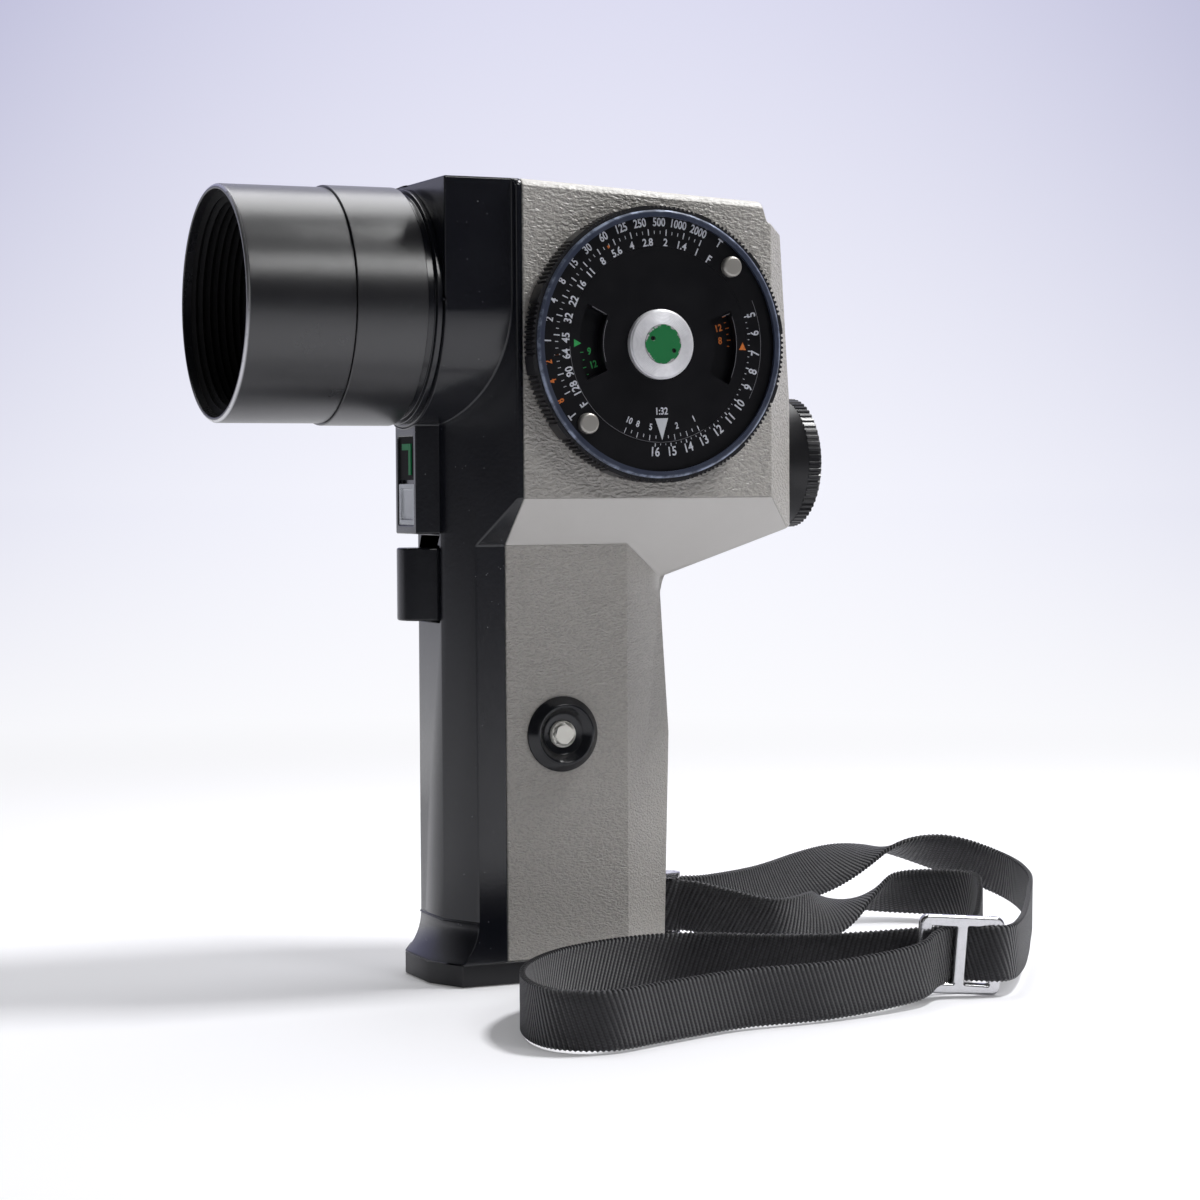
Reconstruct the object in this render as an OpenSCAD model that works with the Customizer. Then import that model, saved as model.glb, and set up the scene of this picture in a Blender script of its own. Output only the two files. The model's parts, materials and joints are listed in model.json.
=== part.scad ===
// Hand-held spot exposure meter on a pistol grip, with a webbing wrist strap.
// The lens looks along -X, the calculator dial faces -Y and the tripod socket's mouth is the origin.

/* [Body] */
// Height of the body over the base
total_h = 178; // [174:1:188]
// Distance from the body's top down to the lens axis
lens_drop = 26.8; // [26:0.2:29]
// How far the head's flat sides stand out past the lens boss
cheek = 1.2; // [0.6:0.1:3]
// Height of the head's flat sides
head_h = 69.8; // [68:0.2:71]
// Length of the head's flat sides behind the parting line
head_side_l = 60.6; // [58:0.2:64]
// Distance from the parting line to the rear face of the head
rear_l = 70.2; // [68:0.2:73]
// Wall of the housings
wall = 2; // [1.6:0.1:2.4]
// Width of the grip
grip_w = 34; // [33:0.5:37]
// Length of the grip's flat sides behind the parting line
grip_side_l = 29.5; // [28:0.5:31]
// Distance from the parting line to the fullest point of the grip's back
grip_back_l = 44.9; // [44:0.1:46]
// Height of the sloped chin between the grip and the head
chin_h = 10.2; // [9.2:0.2:11.2]
// Width of the flat strip down the front
strip_w = 14.8; // [14:0.2:15.6]
// Distance from the parting line to the front strip
front_l = 11.6; // [11:0.1:12.4]
// Distance from the tripod socket's axis to the parting line
socket_x = 5; // [4:0.5:6]

/* [Base] */
// Thickness of the base plate
base_h = 5; // [4.5:0.1:5.5]
// How far the foot stands out in front of the strip
foot_l = 3.9; // [3.4:0.1:4.4]
// Height of the flare over the foot
flare_h = 9; // [8:0.5:10]
// Outside diameter of the battery cap
cap_d = 18; // [16:0.5:19]
// Diameter of the battery
battery_d = 13; // [11:0.5:13.5]
// Length of the battery
battery_l = 25.2; // [22:0.2:28]
// Minor diameter of the tripod thread
tripod_minor_d = 5.1; // [5.0:0.05:5.35]
// Outside diameter of the tripod bush
bush_d = 11; // [10:0.5:12]

/* [Lens] */
// Diameter of the rear barrel
barrel_d = 53; // [50:0.2:54]
// How far the rear barrel stands out past the hood
barrel_lip = 0.5; // [0.2:0.1:1]
// How far the boss on the head stands out past the rear barrel
boss_lip = 0.6; // [0.4:0.1:1]
// Length of the hood
hood_l = 24.2; // [20:0.2:28]
// Length of the rear barrel
barrel_l = 16.1; // [14:0.1:20]
// Length of the step between the barrel and the boss
mount_step = 3.8; // [3:0.1:5]
// Wall of the hood at its rim
hood_wall = 1.2; // [1:0.1:1.6]
// Diameter of the front lens element
lens_d = 38; // [34:0.5:40]

/* [Dial] */
// Diameter of the knurled dial ring
dial_d = 60.8; // [58:0.2:62]
// Distance from the body's top down to the dial's axis
dial_drop = 36; // [35:0.2:37]
// Distance from the parting line to the dial's axis
dial_x = 30; // [29:0.2:31]
// Height of the knurled ring over the head's side
dial_h = 6.2; // [5.6:0.1:6.8]
// Diameter of the fixed scale disc
face_d = 43; // [42:0.5:44]
// Diameter of the brushed hub
hub_d = 15.4; // [14:0.2:17]
// Diameter of the two finger pins
pin_d = 4.6; // [4:0.1:5]
// Number of finger grips round the knurled rim
dial_grips = 12; // [8:1:16]
// Number of ribs in each finger grip
grip_ribs = 11; // [7:1:13]

/* [Eyepiece] */
// Distance from the body's top down to the eyepiece axis
eye_drop = 61.7; // [60.6:0.1:62.6]
// Diameter of the dioptre ring
eye_d = 30.4; // [29:0.2:31]
// Distance from the head's rear face to the end of the dioptre ring
eye_l = 10.6; // [9.6:0.2:12]
// Number of ribs on the dioptre ring
eye_ribs = 60; // [40:2:72]

/* [Controls] */
// Gap between the trigger and the name block over it
trigger_drop = 3.1; // [2.6:0.1:4]
// Height of the trigger
trigger_h = 16.4; // [15.6:0.2:17]
// Width of the trigger
trigger_w = 12; // [11:0.2:12.4]
// How far the trigger stands out of the strip
trigger_out = 7.5; // [7:0.1:8.5]
// Travel of the trigger
trigger_travel = 4; // [3:0.5:5]
// Height of the check button over the base
check_z = 55.5; // [54:0.5:57]
// Distance from the parting line to the check button
check_x = 13.4; // [12.4:0.2:14.4]
// Diameter of the ring round the check button
check_ring_d = 17; // [16:0.2:18]
// Diameter of the check button
check_d = 6; // [5.4:0.2:7]
// Travel of the check button
check_travel = 1.5; // [1:0.1:1.8]

/* [Name block] */
// Width of the upright block under the lens
block_w = 13.4; // [13:0.2:14]
// How far the block stands out of the strip
block_out = 5.6; // [5:0.1:6]
// Height of the block below the lens boss
block_h = 23.6; // [23:0.1:24.4]
// Height of the dark panel in the block
panel_h = 9.6; // [8.6:0.2:10]
// Height of the pale tile in the block
tile_h = 9.2; // [8.6:0.2:10]

/* [Strap] */
// Width of the webbing
web_w = 12; // [10:0.5:12.5]
// Thickness of the webbing
web_t = 1.2; // [1:0.1:1.4]

/* [Hidden] */
$fn = 64;
eps = 0.01;
run = 0.05;
fit = 0.02;
gap = 0.3;
part_x = -socket_x;
strip_x = part_x - front_l;
block_x = strip_x - block_out;
rear_x = part_x + rear_l;
boss_d = barrel_d + 2 * boss_lip;
hood_d = barrel_d - 2 * barrel_lip;
head_r = boss_d / 2 + cheek;
lens_z = total_h - lens_drop;
head_z0 = total_h - head_h;
chin_z = head_z0 - chin_h;
dial_z = total_h - dial_drop;
eye_z = total_h - eye_drop;
block_z0 = lens_z - boss_d / 2 - block_h;
trigger_z0 = block_z0 - trigger_drop - trigger_h;
grip_r = grip_w / 2;
strip_r = strip_w / 2;
rake = 0.485;
chin_run = head_r - grip_r;
chin_slope = chin_h / chin_run;
chin_inset = (sqrt(chin_run * chin_run + chin_h * chin_h)) / chin_run;
roof_r = 2;
boss_x = block_x - 0.4;
seat_z = eye_z + eye_d / 2 - 1.8;
roof_tilt = 3;
grip_rear_x = part_x + grip_back_l;
grip_side_x = part_x + grip_side_l;
back_slope = 0.696;
bulge_z = chin_z * 27 / 49;
foot_x = strip_x - foot_l;
flare_r = (flare_h * flare_h + foot_l * foot_l) / (2 * foot_l);
barrel_x = block_x - mount_step;
hood_x = barrel_x - barrel_l;
rim_x = hood_x - hood_l;
dial_cx = part_x + dial_x;
side_y = -head_r;
axle_r = 5;
axle_top_r = 3;
ring_r = dial_d / 2;
face_r = face_d / 2;
web_top = 2.5;
disc_top = 3.1;
face_z0 = 3.4;
face_z1 = dial_h - 0.4;
bezel_out_r = ring_r - 1;
cup_r = ring_r - 1.9;
scale_r = cup_r - gap;
pin_r = (face_r + scale_r) / 2 - 0.2;
eye_end_x = rear_x + eye_l;
eye_tube_r = eye_d / 2 - 4.4;
flange_h = 1.6;
check_cx = part_x + check_x;
check_cy = -grip_r;
check_neck_r = check_ring_d / 2 - 2.4;
cap_x = 22;
cap_r = cap_d / 2;
cap_h = 3;
tube_r = battery_d / 2 + 0.4;
tube_z1 = base_h + battery_l + 6;
lug_x = grip_rear_x - 1.8;
post_y = grip_r - 3.4;
lug_screw_y = (boss_d / 2 - 7.15) * 0.882;
lug_screw_z = (boss_d / 2 - 7.15) * 0.471;
lug_z0 = base_h;
lug_h = web_w + 3.4;
pin_x = lug_x + 4.6;
mirror_x = part_x + rear_l * 29 / 70.2;
chassis_x = mirror_x - 14;
chassis_l = 40;
plate_t = 1.6;
shelf_w = 26;
board_l = 24;
chassis_y = head_r - wall - 12.3;
prism_z0 = chin_z + 9.6;
meter_x = mirror_x + 19;
meter_z = chin_z + 39.6;

// Route of the strap, from the lug round both of its loops and back: x, y, z and the roll of the webbing
strap_route = [
    [40.65, 0.15, 12.7, 0], [41.25, 1.45, 12.7, 0], [42.7, 2.06, 12.7, 0], [44.4, 2.35, 12.7, 0],
    [48, 3.1, 12.6, 0], [56, 5.5, 12.2, 0], [75, 16, 12, 8], [95, 26, 14, 30], [115, 30, 18, 90],
    [130, 22, 17, 150], [138, 6, 13, 170], [132, -15, 11, 180], [116, -36, 9.5, 180],
    [100, -56, 9, 180], [91, -67, 9.2, 180], [82, -71.4, 9.2, 180], [76.5, -71.8, 9.2, 180],
    [71.5, -75.2, 9, 180], [62, -81, 7.4, 180], [40, -86, 6.4, 180], [18, -87, 6.4, 180],
    [-2, -93, 6.4, 180], [-16, -97, 6.4, 180], [-25, -90, 6.4, 180], [-25, -76, 6.4, 180],
    [-18, -60, 6.4, 180], [-4, -46, 6.4, 180], [14, -38.5, 6.4, 180], [30, -39, 6.4, 180],
    [44, -50, 6.6, 180], [57, -61, 7.6, 180], [80, -69.2, 9.2, 180], [89, -61, 9.6, 180],
    [98, -48, 10.5, 180], [108, -32, 11.5, 180], [115, -17, 12, 180], [111, -6, 12, 195],
    [100, -2, 12, 215], [87, -6, 11, 270], [74, -14, 9.5, 340], [62, -17, 9, 360],
    [53.5, -10.5, 10.8, 360], [48.2, -5.4, 12.2, 360], [45.6, -3.2, 12.6, 360],
    [44, -2.35, 12.7, 360], [42.7, -2.06, 12.7, 360], [41.25, -1.45, 12.7, 360],
    [40.65, -0.15, 12.7, 360]];
slider_at = [77.5, -73.5, 9.2];
slider_turn = -8;
slider_lean = 5;
slider_l = 19;
slider_h = 16.4;
slider_bar = 2.2;

// Profiles and shared shapes

// A cylinder along X from x0, at height z
module rod_x(x0, length, r, z, r2 = 0) {
    translate([x0, 0, z]) rotate([0, 90, 0]) cylinder(h = length, r1 = r, r2 = r2 > 0 ? r2 : r);
}

// A cylinder on the dial's axis, from height a to height b over the head's side
module on_dial(a, b, r) {
    translate([dial_cx, side_y - a, dial_z]) rotate([90, 0, 0]) cylinder(h = b - a, r = r);
}

// A profile drawn in (y, z), run along X
module along_x(x0, length) {
    translate([x0, 0, 0]) rotate([90, 0, 90]) linear_extrude(length) children();
}

// A profile drawn in (x, z), run across the body
module across(half) {
    translate([0, half, 0]) rotate([90, 0, 0]) linear_extrude(2 * half) children();
}

// Height of the sloped chin at a distance y from the middle, moved in by g
function chin_at(y, g) = chin_z + (y - grip_r) * chin_slope + g * chin_inset;

// Section across the front moulding: grip, chin, head and flat roof
module front_section(g, z0) {
    half = [[grip_r - g, z0], [grip_r - g, chin_at(grip_r - g, g)], [head_r - g, chin_at(head_r - g, g)],
        [head_r - g, total_h - g]];
    difference() {
        polygon(concat(half, [for (i = [len(half) - 1:-1:0]) [-half[i][0], half[i][1]]]));
        if (g == 0) roof_edges(total_h);
    }
}

// What rounds off the two long edges of the roof, at height z
module roof_edges(z) {
    for (s = [-1, 1]) corner_fill([s * head_r, z], [s * head_r, z - 20], [0, z], roof_r);
}

// Plan of the front moulding: the flat strip and the raked cheeks, with its front at x
module front_plan(x, half, back) {
    polygon([[back, -half], [x + rake * (half - strip_r), -half], [x, -strip_r], [x, strip_r],
        [x + rake * (half - strip_r), half], [back, half]]);
}

// Corner of two lines rounded to radius r: the piece that fills the corner at v between points a and b
module corner_fill(v, a, b, r) {
    ua = (a - v) / norm(a - v);
    ub = (b - v) / norm(b - v);
    half_angle = acos(ua * ub) / 2;
    reach = r / tan(half_angle);
    centre = v + (ua + ub) / norm(ua + ub) * (r / sin(half_angle));
    difference() {
        polygon([v - (ua + ub) * 2, v + ua * reach, centre, v + ub * reach]);
        translate(centre) circle(r + 0.02);
    }
}

// Height of the head's sloped underside behind the grip
function under_z(x) = chin_z - 5.25 + 0.392 * (x - part_x - 47.5);

// The head behind the parting line, moved in by g on every side
module head_solid(g) {
    x0 = g > 0 ? part_x - eps : part_x;
    lean = 1.9;
    intersection() {
        // lower chin and flat sides
        along_x(x0, rear_l + 1) polygon([[head_r - g, total_h + 20], [head_r - g, chin_at(head_r - g, g)],
            [strip_r, chin_at(strip_r, g)], [-strip_r, chin_at(strip_r, g)],
            [-head_r + g, chin_at(head_r - g, g)], [-head_r + g, total_h + 20]]);
        // flat roof that falls to the rear, with its long edges rounded
        translate([part_x, 0, total_h - g]) rotate([0, roof_tilt, 0]) translate([-20, 0, 0]) along_x(0, 120)
            difference() {
                translate([-40, -120]) square([80, 120]);
                if (g == 0) roof_edges(0);
            }
        // step over the eyepiece, raked rear face and sloped underside
        across(50) polygon([[x0, total_h + 20], [rear_x - 19 - g, total_h + 20],
            [rear_x - 11.9 - g, total_h - 3.1], [rear_x - 10.5 - g, total_h - 7.6 - g],
            [rear_x - 4.8 - g, total_h - 10 - g], [rear_x - g, seat_z], [rear_x - g, under_z(rear_x) + g],
            [part_x + 40, under_z(part_x + 40) + g], [x0, under_z(part_x + 40) + g - 8]]);
        // corners cut off at the rear
        linear_extrude(220) polygon([[x0, -head_r], [part_x + head_side_l - lean * g / 3, -head_r],
            [part_x + head_side_l + 20 - g * sqrt(2), -head_r + 20],
            [part_x + head_side_l + 20 - g * sqrt(2), head_r - 20],
            [part_x + head_side_l - lean * g / 3, head_r], [x0, head_r]]);
    }
}

// The grip behind the parting line, moved in by g
module grip_solid(g, z0) {
    x0 = g > 0 ? part_x - eps : part_x;
    low = [grip_rear_x - 1.9 - g, 5];
    full = [grip_rear_x - g, bulge_z];
    neck = [grip_rear_x - 3.35 - g, chin_z - 7.6];
    under = [part_x + 62, under_z(part_x + 62) + g];
    intersection() {
        translate([0, 0, z0]) linear_extrude(140) polygon([[x0, -grip_r + g], [grip_side_x, -grip_r + g],
            [grip_side_x + 19, -grip_r + 19 * back_slope + g * 0.5],
            [grip_side_x + 19, grip_r - 19 * back_slope - g * 0.5],
            [grip_side_x, grip_r - g], [x0, grip_r - g]]);
        across(40) union() {
            polygon([[x0, 0], [low[0], 0], low, full, neck, [neck[0], chin_z + 2], [x0, chin_z + 2]]);
            corner_fill(neck, full, under, 6.5);
        }
    }
}

// A toothed outline: n grooves of the given depth in a circle of radius r
module toothed(r, n, depth) {
    polygon([for (i = [0:n - 1], j = [0:3])
        let (a = 360 * (i + [0, 0.3, 0.5, 0.8][j]) / n, q = j < 2 ? r : r - depth)
        [q * cos(a), q * sin(a)]]);
}

// Outline of the dial's rim: groups of ribs with smooth lengths between them
module grip_outline(r, depth) {
    pitch = 360 / dial_grips;
    tooth = pitch * 0.76 / grip_ribs;
    polygon([for (g = [0:dial_grips - 1], i = [0:grip_ribs + 3], j = [0:3])
        let (smooth = i >= grip_ribs, w = smooth ? pitch * 0.06 : tooth,
            a0 = pitch * (g + 0.42) + (smooth ? tooth * grip_ribs + (i - grip_ribs) * w : i * tooth),
            a = a0 + w * [0, 0.3, 0.5, 0.8][j], q = j < 2 || smooth ? r : r - depth)
        [q * cos(a), q * sin(a)]]);
}

// A close helix of wire, as a closed sleeve of its outline
module spring_sleeve(r, wire, length) {
    difference() {
        cylinder(h = length, r = r);
        translate([0, 0, -1]) cylinder(h = length + 2, r = r - wire);
    }
}

// Housings

module front_housing() {
    color([0.05, 0.05, 0.06]) difference() {
        union() {
            difference() {
                union() {
                    intersection() {
                        translate([0, 0, base_h]) linear_extrude(total_h)
                            front_plan(strip_x, head_r, part_x);
                        along_x(block_x, 40) front_section(0, base_h);
                    }
                    name_block();
                    flare();
                }
                // hollow behind
                intersection() {
                    translate([0, 0, base_h - 1]) linear_extrude(total_h)
                        front_plan(strip_x + wall, head_r - wall, part_x + 1);
                    along_x(block_x, 40) front_section(wall, base_h - 1);
                }
            }
            lens_boss();
            // posts for the base screws
            for (s = [-1, 1]) translate([part_x - 2.8, s * post_y, base_h]) cylinder(h = 8, r = 2.4);
        }
        // bore for the lens tube
        rod_x(boss_x - 1, part_x - 3 - boss_x, boss_d / 2 - 5, lens_z);
        rod_x(block_x - 1, 40, boss_d / 2 - 10.6, lens_z);
        // slot for the trigger
        translate([strip_x - 3, -trigger_w / 2 - gap, trigger_z0 - gap])
            cube([front_l - 3, trigger_w + 2 * gap, trigger_h + 2 * gap]);
        // window in the block
        translate([block_x - 1, -block_w / 2 + 1.7, block_z0 + 2])
            cube([2.2, block_w - 3.4, panel_h + tile_h + 0.9]);
        for (s = [-1, 1]) translate([part_x - 2.8, s * post_y, base_h - 1]) cylinder(h = 7, r = 0.9);
        for (s = [-1, 1], t = [-1, 1])
            rod_x_at(part_x - 6, 8, 1.2, s * lug_screw_y, lens_z + t * lug_screw_z);
    }
}

// Boss for the lens: round below its axis, with flat sides up to the roof above it
module lens_boss() {
    r = boss_d / 2;
    rod_x(boss_x, 0.3, r - 0.3, lens_z, r);
    rod_x(boss_x + 0.3, part_x - boss_x - 0.3, r, lens_z);
    along_x(boss_x, part_x - boss_x) intersection() {
        front_section(0, lens_z);
        translate([-r + 0.03, lens_z]) square([2 * r - 0.06, total_h]);
    }
}

// Upright block under the lens
module name_block() {
    across(block_w / 2) polygon([[block_x, block_z0], [strip_x + 1, block_z0], [strip_x + 1, lens_z],
        [block_x, lens_z]]);
}

// A lug on the head's inner wall, from x0 and l long
module housing_lug(x0, l, s, t) {
    y0 = lug_screw_y - 3;
    y1 = head_r - wall / 2;
    translate([x0, s > 0 ? y0 : -y1, lens_z + t * lug_screw_z - 3]) cube([l, y1 - y0, 6]);
}

// A cylinder along X from x0, at y and z
module rod_x_at(x0, length, r, y, z) {
    translate([0, y, 0]) rod_x(x0, length, r, z);
}

// Concave flare from the strip and its two chamfers down to the foot
module flare() {
    side_l = foot_l * cos(atan(rake));
    side_r = (flare_h * flare_h + side_l * side_l) / (2 * side_l);
    difference() {
        translate([0, 0, base_h]) linear_extrude(flare_h) foot_plan(part_x);
        cove(0, 0, flare_r);
        for (s = [-1, 1]) cove(s * strip_r, -s * atan(rake), side_r);
    }
}

// The round cutter of the flare, just in front of a face of the strip or a chamfer
module cove(y, turn, r) {
    translate([strip_x, y, base_h + flare_h]) rotate([0, 0, turn]) rotate([90, 0, 0])
        translate([-r - 0.05, 0, -30]) cylinder(h = 60, r = r);
}

// Plan of the foot's front
module foot_plan(back) {
    intersection() {
        front_plan(foot_x, grip_r + 3, back);
        square([200, grip_w], center = true);
    }
}

module rear_shell() {
    color([0.52, 0.51, 0.48]) difference() {
        union() {
            difference() {
                union() {
                    head_solid(0);
                    grip_solid(0, base_h);
                }
                union() {
                    head_solid(wall);
                    grip_solid(wall, -1);
                }
            }
            for (s = [-1, 1]) rear_post(s) cylinder(h = 8, r = 2.4);
            for (s = [-1, 1], t = [-1, 1])
                housing_lug(part_x, 7, s, t);
        }
        for (s = [-1, 1]) rear_post(s) translate([0, 0, -1]) cylinder(h = 7, r = 0.9);
        for (s = [-1, 1], t = [-1, 1])
            rod_x_at(part_x - 1, 7, 1.2, s * lug_screw_y, lens_z + t * lug_screw_z);
        // bore for the dial's axle
        on_dial(-wall - 1, 1, axle_r + fit);
        // bore for the eyepiece
        rod_x(rear_x - 10, 20, eye_tube_r + 1, eye_z);
        // bore for the check button's ring
        translate([check_cx, -grip_r + 5, check_z]) rotate([90, 0, 0]) cylinder(h = 10, r = check_neck_r);
        // slot for the strap lug
        translate([lug_x - 8, -4, lug_z0 - 1]) cube([20, 8, 1 + lug_h]);
    }
}

// Place of a base screw's post in the rear shell
module rear_post(s) {
    translate([grip_side_x - 3, s * post_y, base_h]) children();
}

module base_plate() {
    color([0.06, 0.06, 0.065]) difference() {
        linear_extrude(base_h) base_outline();
        translate([0, 0, -1]) cylinder(h = base_h + 2, r = bush_d / 2 + fit);
        translate([cap_x, 0, -1]) cylinder(h = base_h + 2, r = tube_r + 0.8);
        translate([cap_x, 0, -1]) cylinder(h = cap_h + 1 + gap, r = cap_r + run);
        base_screw_places() translate([0, 0, -1]) cylinder(h = base_h + 2, r = 1.2);
        base_screw_places() translate([0, 0, -1]) cylinder(h = 2.2, r = 2.1);
        // shallow recess inside the rim that stands on the ground
        translate([0, 0, -eps]) linear_extrude(0.6) base_recess(3);
    }
}

// Outline of the foot and the grip's lower end
module base_outline() {
    back = grip_rear_x - 1.9;
    half = [[foot_x, strip_r], [foot_x + rake * (grip_r - strip_r), grip_r], [grip_side_x, grip_r],
        [back, grip_r - (back - grip_side_x) * back_slope]];
    polygon(concat(half, [for (i = [len(half) - 1:-1:0]) [half[i][0], -half[i][1]]]));
}

// Outline of the recess, g inside the rim, with a land round each hole
module base_recess(g) {
    difference() {
        polygon([[foot_x + g + 1, -strip_r + 2], [foot_x + g + 5, -grip_r + g],
            [grip_side_x - 1, -grip_r + g],
            [grip_rear_x - 1.9 - g, -strip_r + 2], [grip_rear_x - 1.9 - g, strip_r - 2],
            [grip_side_x - 1, grip_r - g],
            [foot_x + g + 5, grip_r - g], [foot_x + g + 1, strip_r - 2]]);
        circle(bush_d / 2 + 2);
        translate([cap_x, 0]) circle(cap_r + 1.6);
        for (x = [part_x - 2.8, grip_side_x - 3], s = [-1, 1]) translate([x, s * post_y]) circle(3.2);
    }
}

module base_screw_places() {
    for (s = [-1, 1]) {
        translate([part_x - 2.8, s * post_y, 0]) children();
        translate([grip_side_x - 3, s * post_y, 0]) children();
    }
}

module base_screws() {
    color([0.7, 0.7, 0.72]) base_screw_places() {
        difference() {
            translate([0, 0, 0.2]) cylinder(h = 1, r = 2);
            translate([-0.3, -3, 0]) cube([0.6, 6, 0.6]);
        }
        translate([0, 0, 1.2]) cylinder(h = base_h + 4, r = 0.9);
    }
}

module tripod_bush() {
    color([0.75, 0.72, 0.62]) difference() {
        union() {
            cylinder(h = base_h, r = bush_d / 2);
            translate([0, 0, base_h]) cylinder(h = 1.6, r = bush_d / 2 + 1.5);
            cylinder(h = base_h + 5, r = bush_d / 2 - 1);
        }
        translate([0, 0, -1]) cylinder(h = base_h + 4.5, r = tripod_minor_d / 2);
    }
}

module battery_cap() {
    color([0.1, 0.1, 0.11]) translate([cap_x, 0, gap]) difference() {
        union() {
            cylinder(h = cap_h - gap, r = cap_r);
            cylinder(h = cap_h + 1.4, r = tube_r - 0.3);
        }
        translate([-cap_r * 0.72, -0.9, -1]) cube([cap_r * 1.44, 1.8, 2.2]);
    }
}

module battery_tube() {
    color([0.22, 0.22, 0.2]) translate([cap_x, 0, base_h]) difference() {
        cylinder(h = tube_z1 - base_h, r = tube_r + 1.2);
        translate([0, 0, -1]) cylinder(h = tube_z1 - base_h, r = battery_d / 2);
        translate([0, 0, -1]) cylinder(h = 1.4, r = tube_r);
    }
}

module battery() {
    color([0.75, 0.62, 0.3]) translate([cap_x, 0, cap_h + 1.4 + 2 * gap]) {
        cylinder(h = battery_l - 0.8, r = battery_d / 2);
        cylinder(h = battery_l, r = battery_d / 2 - 3);
    }
}

module battery_contact() {
    top = tube_z1 - 1;
    low = cap_h + 1.4 + 2 * gap + battery_l;
    color([0.8, 0.78, 0.7]) translate([cap_x, 0, low]) {
        cylinder(h = 0.4, r = 3);
        difference() {
            cylinder(h = top - low, r = 2.4);
            translate([0, 0, 0.4]) cylinder(h = top - low, r = 1.8);
        }
    }
}

module strap_lug() {
    color([0.72, 0.72, 0.74]) difference() {
        union() {
            // tongue through the grip's back, with an ear above and one below the webbing
            translate([lug_x - 4, -4, lug_z0]) cube([3.4 + 1, 8, lug_h]);
            for (z = [lug_z0, lug_z0 + lug_h - 1.4]) translate([0, 0, z]) linear_extrude(1.4) hull() {
                translate([pin_x, 0]) circle(2.6, $fn = 32);
                translate([lug_x - 3, -4]) square([2, 8]);
            }
        }
        translate([pin_x, 0, 0]) cylinder(h = 60, r = 1.3);
    }
}

module strap_pin() {
    color([0.72, 0.72, 0.74]) translate([pin_x, 0, lug_z0]) cylinder(h = lug_h, r = 1.3);
}

// Lens

module mount_ring() {
    color([0.07, 0.07, 0.075]) difference() {
        union() {
            rod_x(barrel_x - 1.6, mount_step * 0.55 + 1.6, barrel_d / 2 - 1.4, lens_z);
            rod_x(barrel_x + mount_step * 0.55, mount_step * 0.45 - 0.4, barrel_d / 2 - 0.3, lens_z);
            rod_x(boss_x - 0.2, block_x - boss_x + 11.7, boss_d / 2 - 5, lens_z);
        }
        rod_x(barrel_x - 3, 30, boss_d / 2 - 7.6, lens_z);
    }
}

module barrel_rear() {
    color([0.08, 0.08, 0.085]) difference() {
        rod_x(hood_x, barrel_l, barrel_d / 2, lens_z);
        rod_x(hood_x - 1, barrel_l + 2, lens_d / 2 + 0.9, lens_z);
        rod_x(hood_x + barrel_l - 1.6, 3, barrel_d / 2 - 1.4, lens_z);
        rod_x(hood_x - 1, 4, lens_d / 2 + 2.5, lens_z);
    }
}

module barrel_front() {
    color([0.08, 0.08, 0.085]) difference() {
        union() {
            rod_x(rim_x + 0.6, hood_l - 0.6, hood_d / 2, lens_z);
            rod_x(rim_x, 0.6, hood_d / 2 - 0.5, lens_z, hood_d / 2);
        }
        rod_x(rim_x - 1, hood_l + 2, hood_d / 2 - hood_wall - 1.6, lens_z);
        rod_x(rim_x - 1, hood_l - 3, hood_d / 2 - hood_wall, lens_z);
    }
}

module hood_liner() {
    r0 = hood_d / 2 - hood_wall;
    color([0.04, 0.04, 0.045]) translate([rim_x, 0, lens_z]) rotate([0, 90, 0]) rotate_extrude($fn = 64)
        polygon(concat([[r0, 2], [r0, hood_l - 4.2]], [for (i = [9:-1:0]) each
            [[r0 - 2.4, 2.4 + (hood_l - 7) * (i + 0.9) / 10],
            [r0 - 1.2, 2.4 + (hood_l - 7) * (i + 0.5) / 10],
            [r0 - 1.6, 2.4 + (hood_l - 7) * (i + 0.1) / 10]]]));
}

module objective_ring() {
    color([0.09, 0.09, 0.1]) difference() {
        rod_x(hood_x, 3, lens_d / 2 + 2.5, lens_z);
        rod_x(hood_x - 1, 5, lens_d / 2 - 1.2, lens_z);
    }
}

// A lens element with one bulged face, its edge e thick and its front bulge h high
module element(x, r, e, h) {
    big = (r * r + h * h) / (2 * h);
    translate([x, 0, lens_z]) rotate([0, 90, 0]) rotate_extrude($fn = 64) intersection() {
        translate([0, big - h]) circle(big, $fn = 180);
        translate([0, -h]) square([r, h + e]);
    }
}

module objective_front() {
    color([0.55, 0.6, 0.75, 0.5]) element(hood_x + 3.6, lens_d / 2 + 0.9 - run, 3.4, 2.6);
}

module objective_rear() {
    color([0.55, 0.6, 0.75, 0.5]) element(hood_x + 9.8, lens_d / 2 + 0.9 - run, 2.6, 1.6);
}

// Name block

module name_panel() {
    color([0.05, 0.06, 0.06]) translate([block_x + 0.5, -block_w / 2 + 1.7, block_z0 + 2 + tile_h + 0.9])
        cube([0.7, block_w - 3.4, panel_h]);
}

module panel_inlay() {
    w = block_w - 3.4;
    color([0.05, 0.45, 0.25]) translate([block_x + 0.2, -w / 2 + 2.2, block_z0 + 4 + tile_h]) {
        cube([0.3, 1.4, panel_h - 2.6]);
        translate([0, 0, panel_h - 4]) cube([0.3, w - 4.4, 1.4]);
    }
}

module index_tile() {
    w = block_w - 3.4;
    color([0.78, 0.8, 0.82]) translate([block_x + 0.2, -w / 2, block_z0 + 2]) difference() {
        cube([1, w, tile_h]);
        translate([-1, 1.2, 1.2]) cube([1.4, w - 2.4, tile_h - 2.4]);
    }
}

// Trigger

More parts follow.
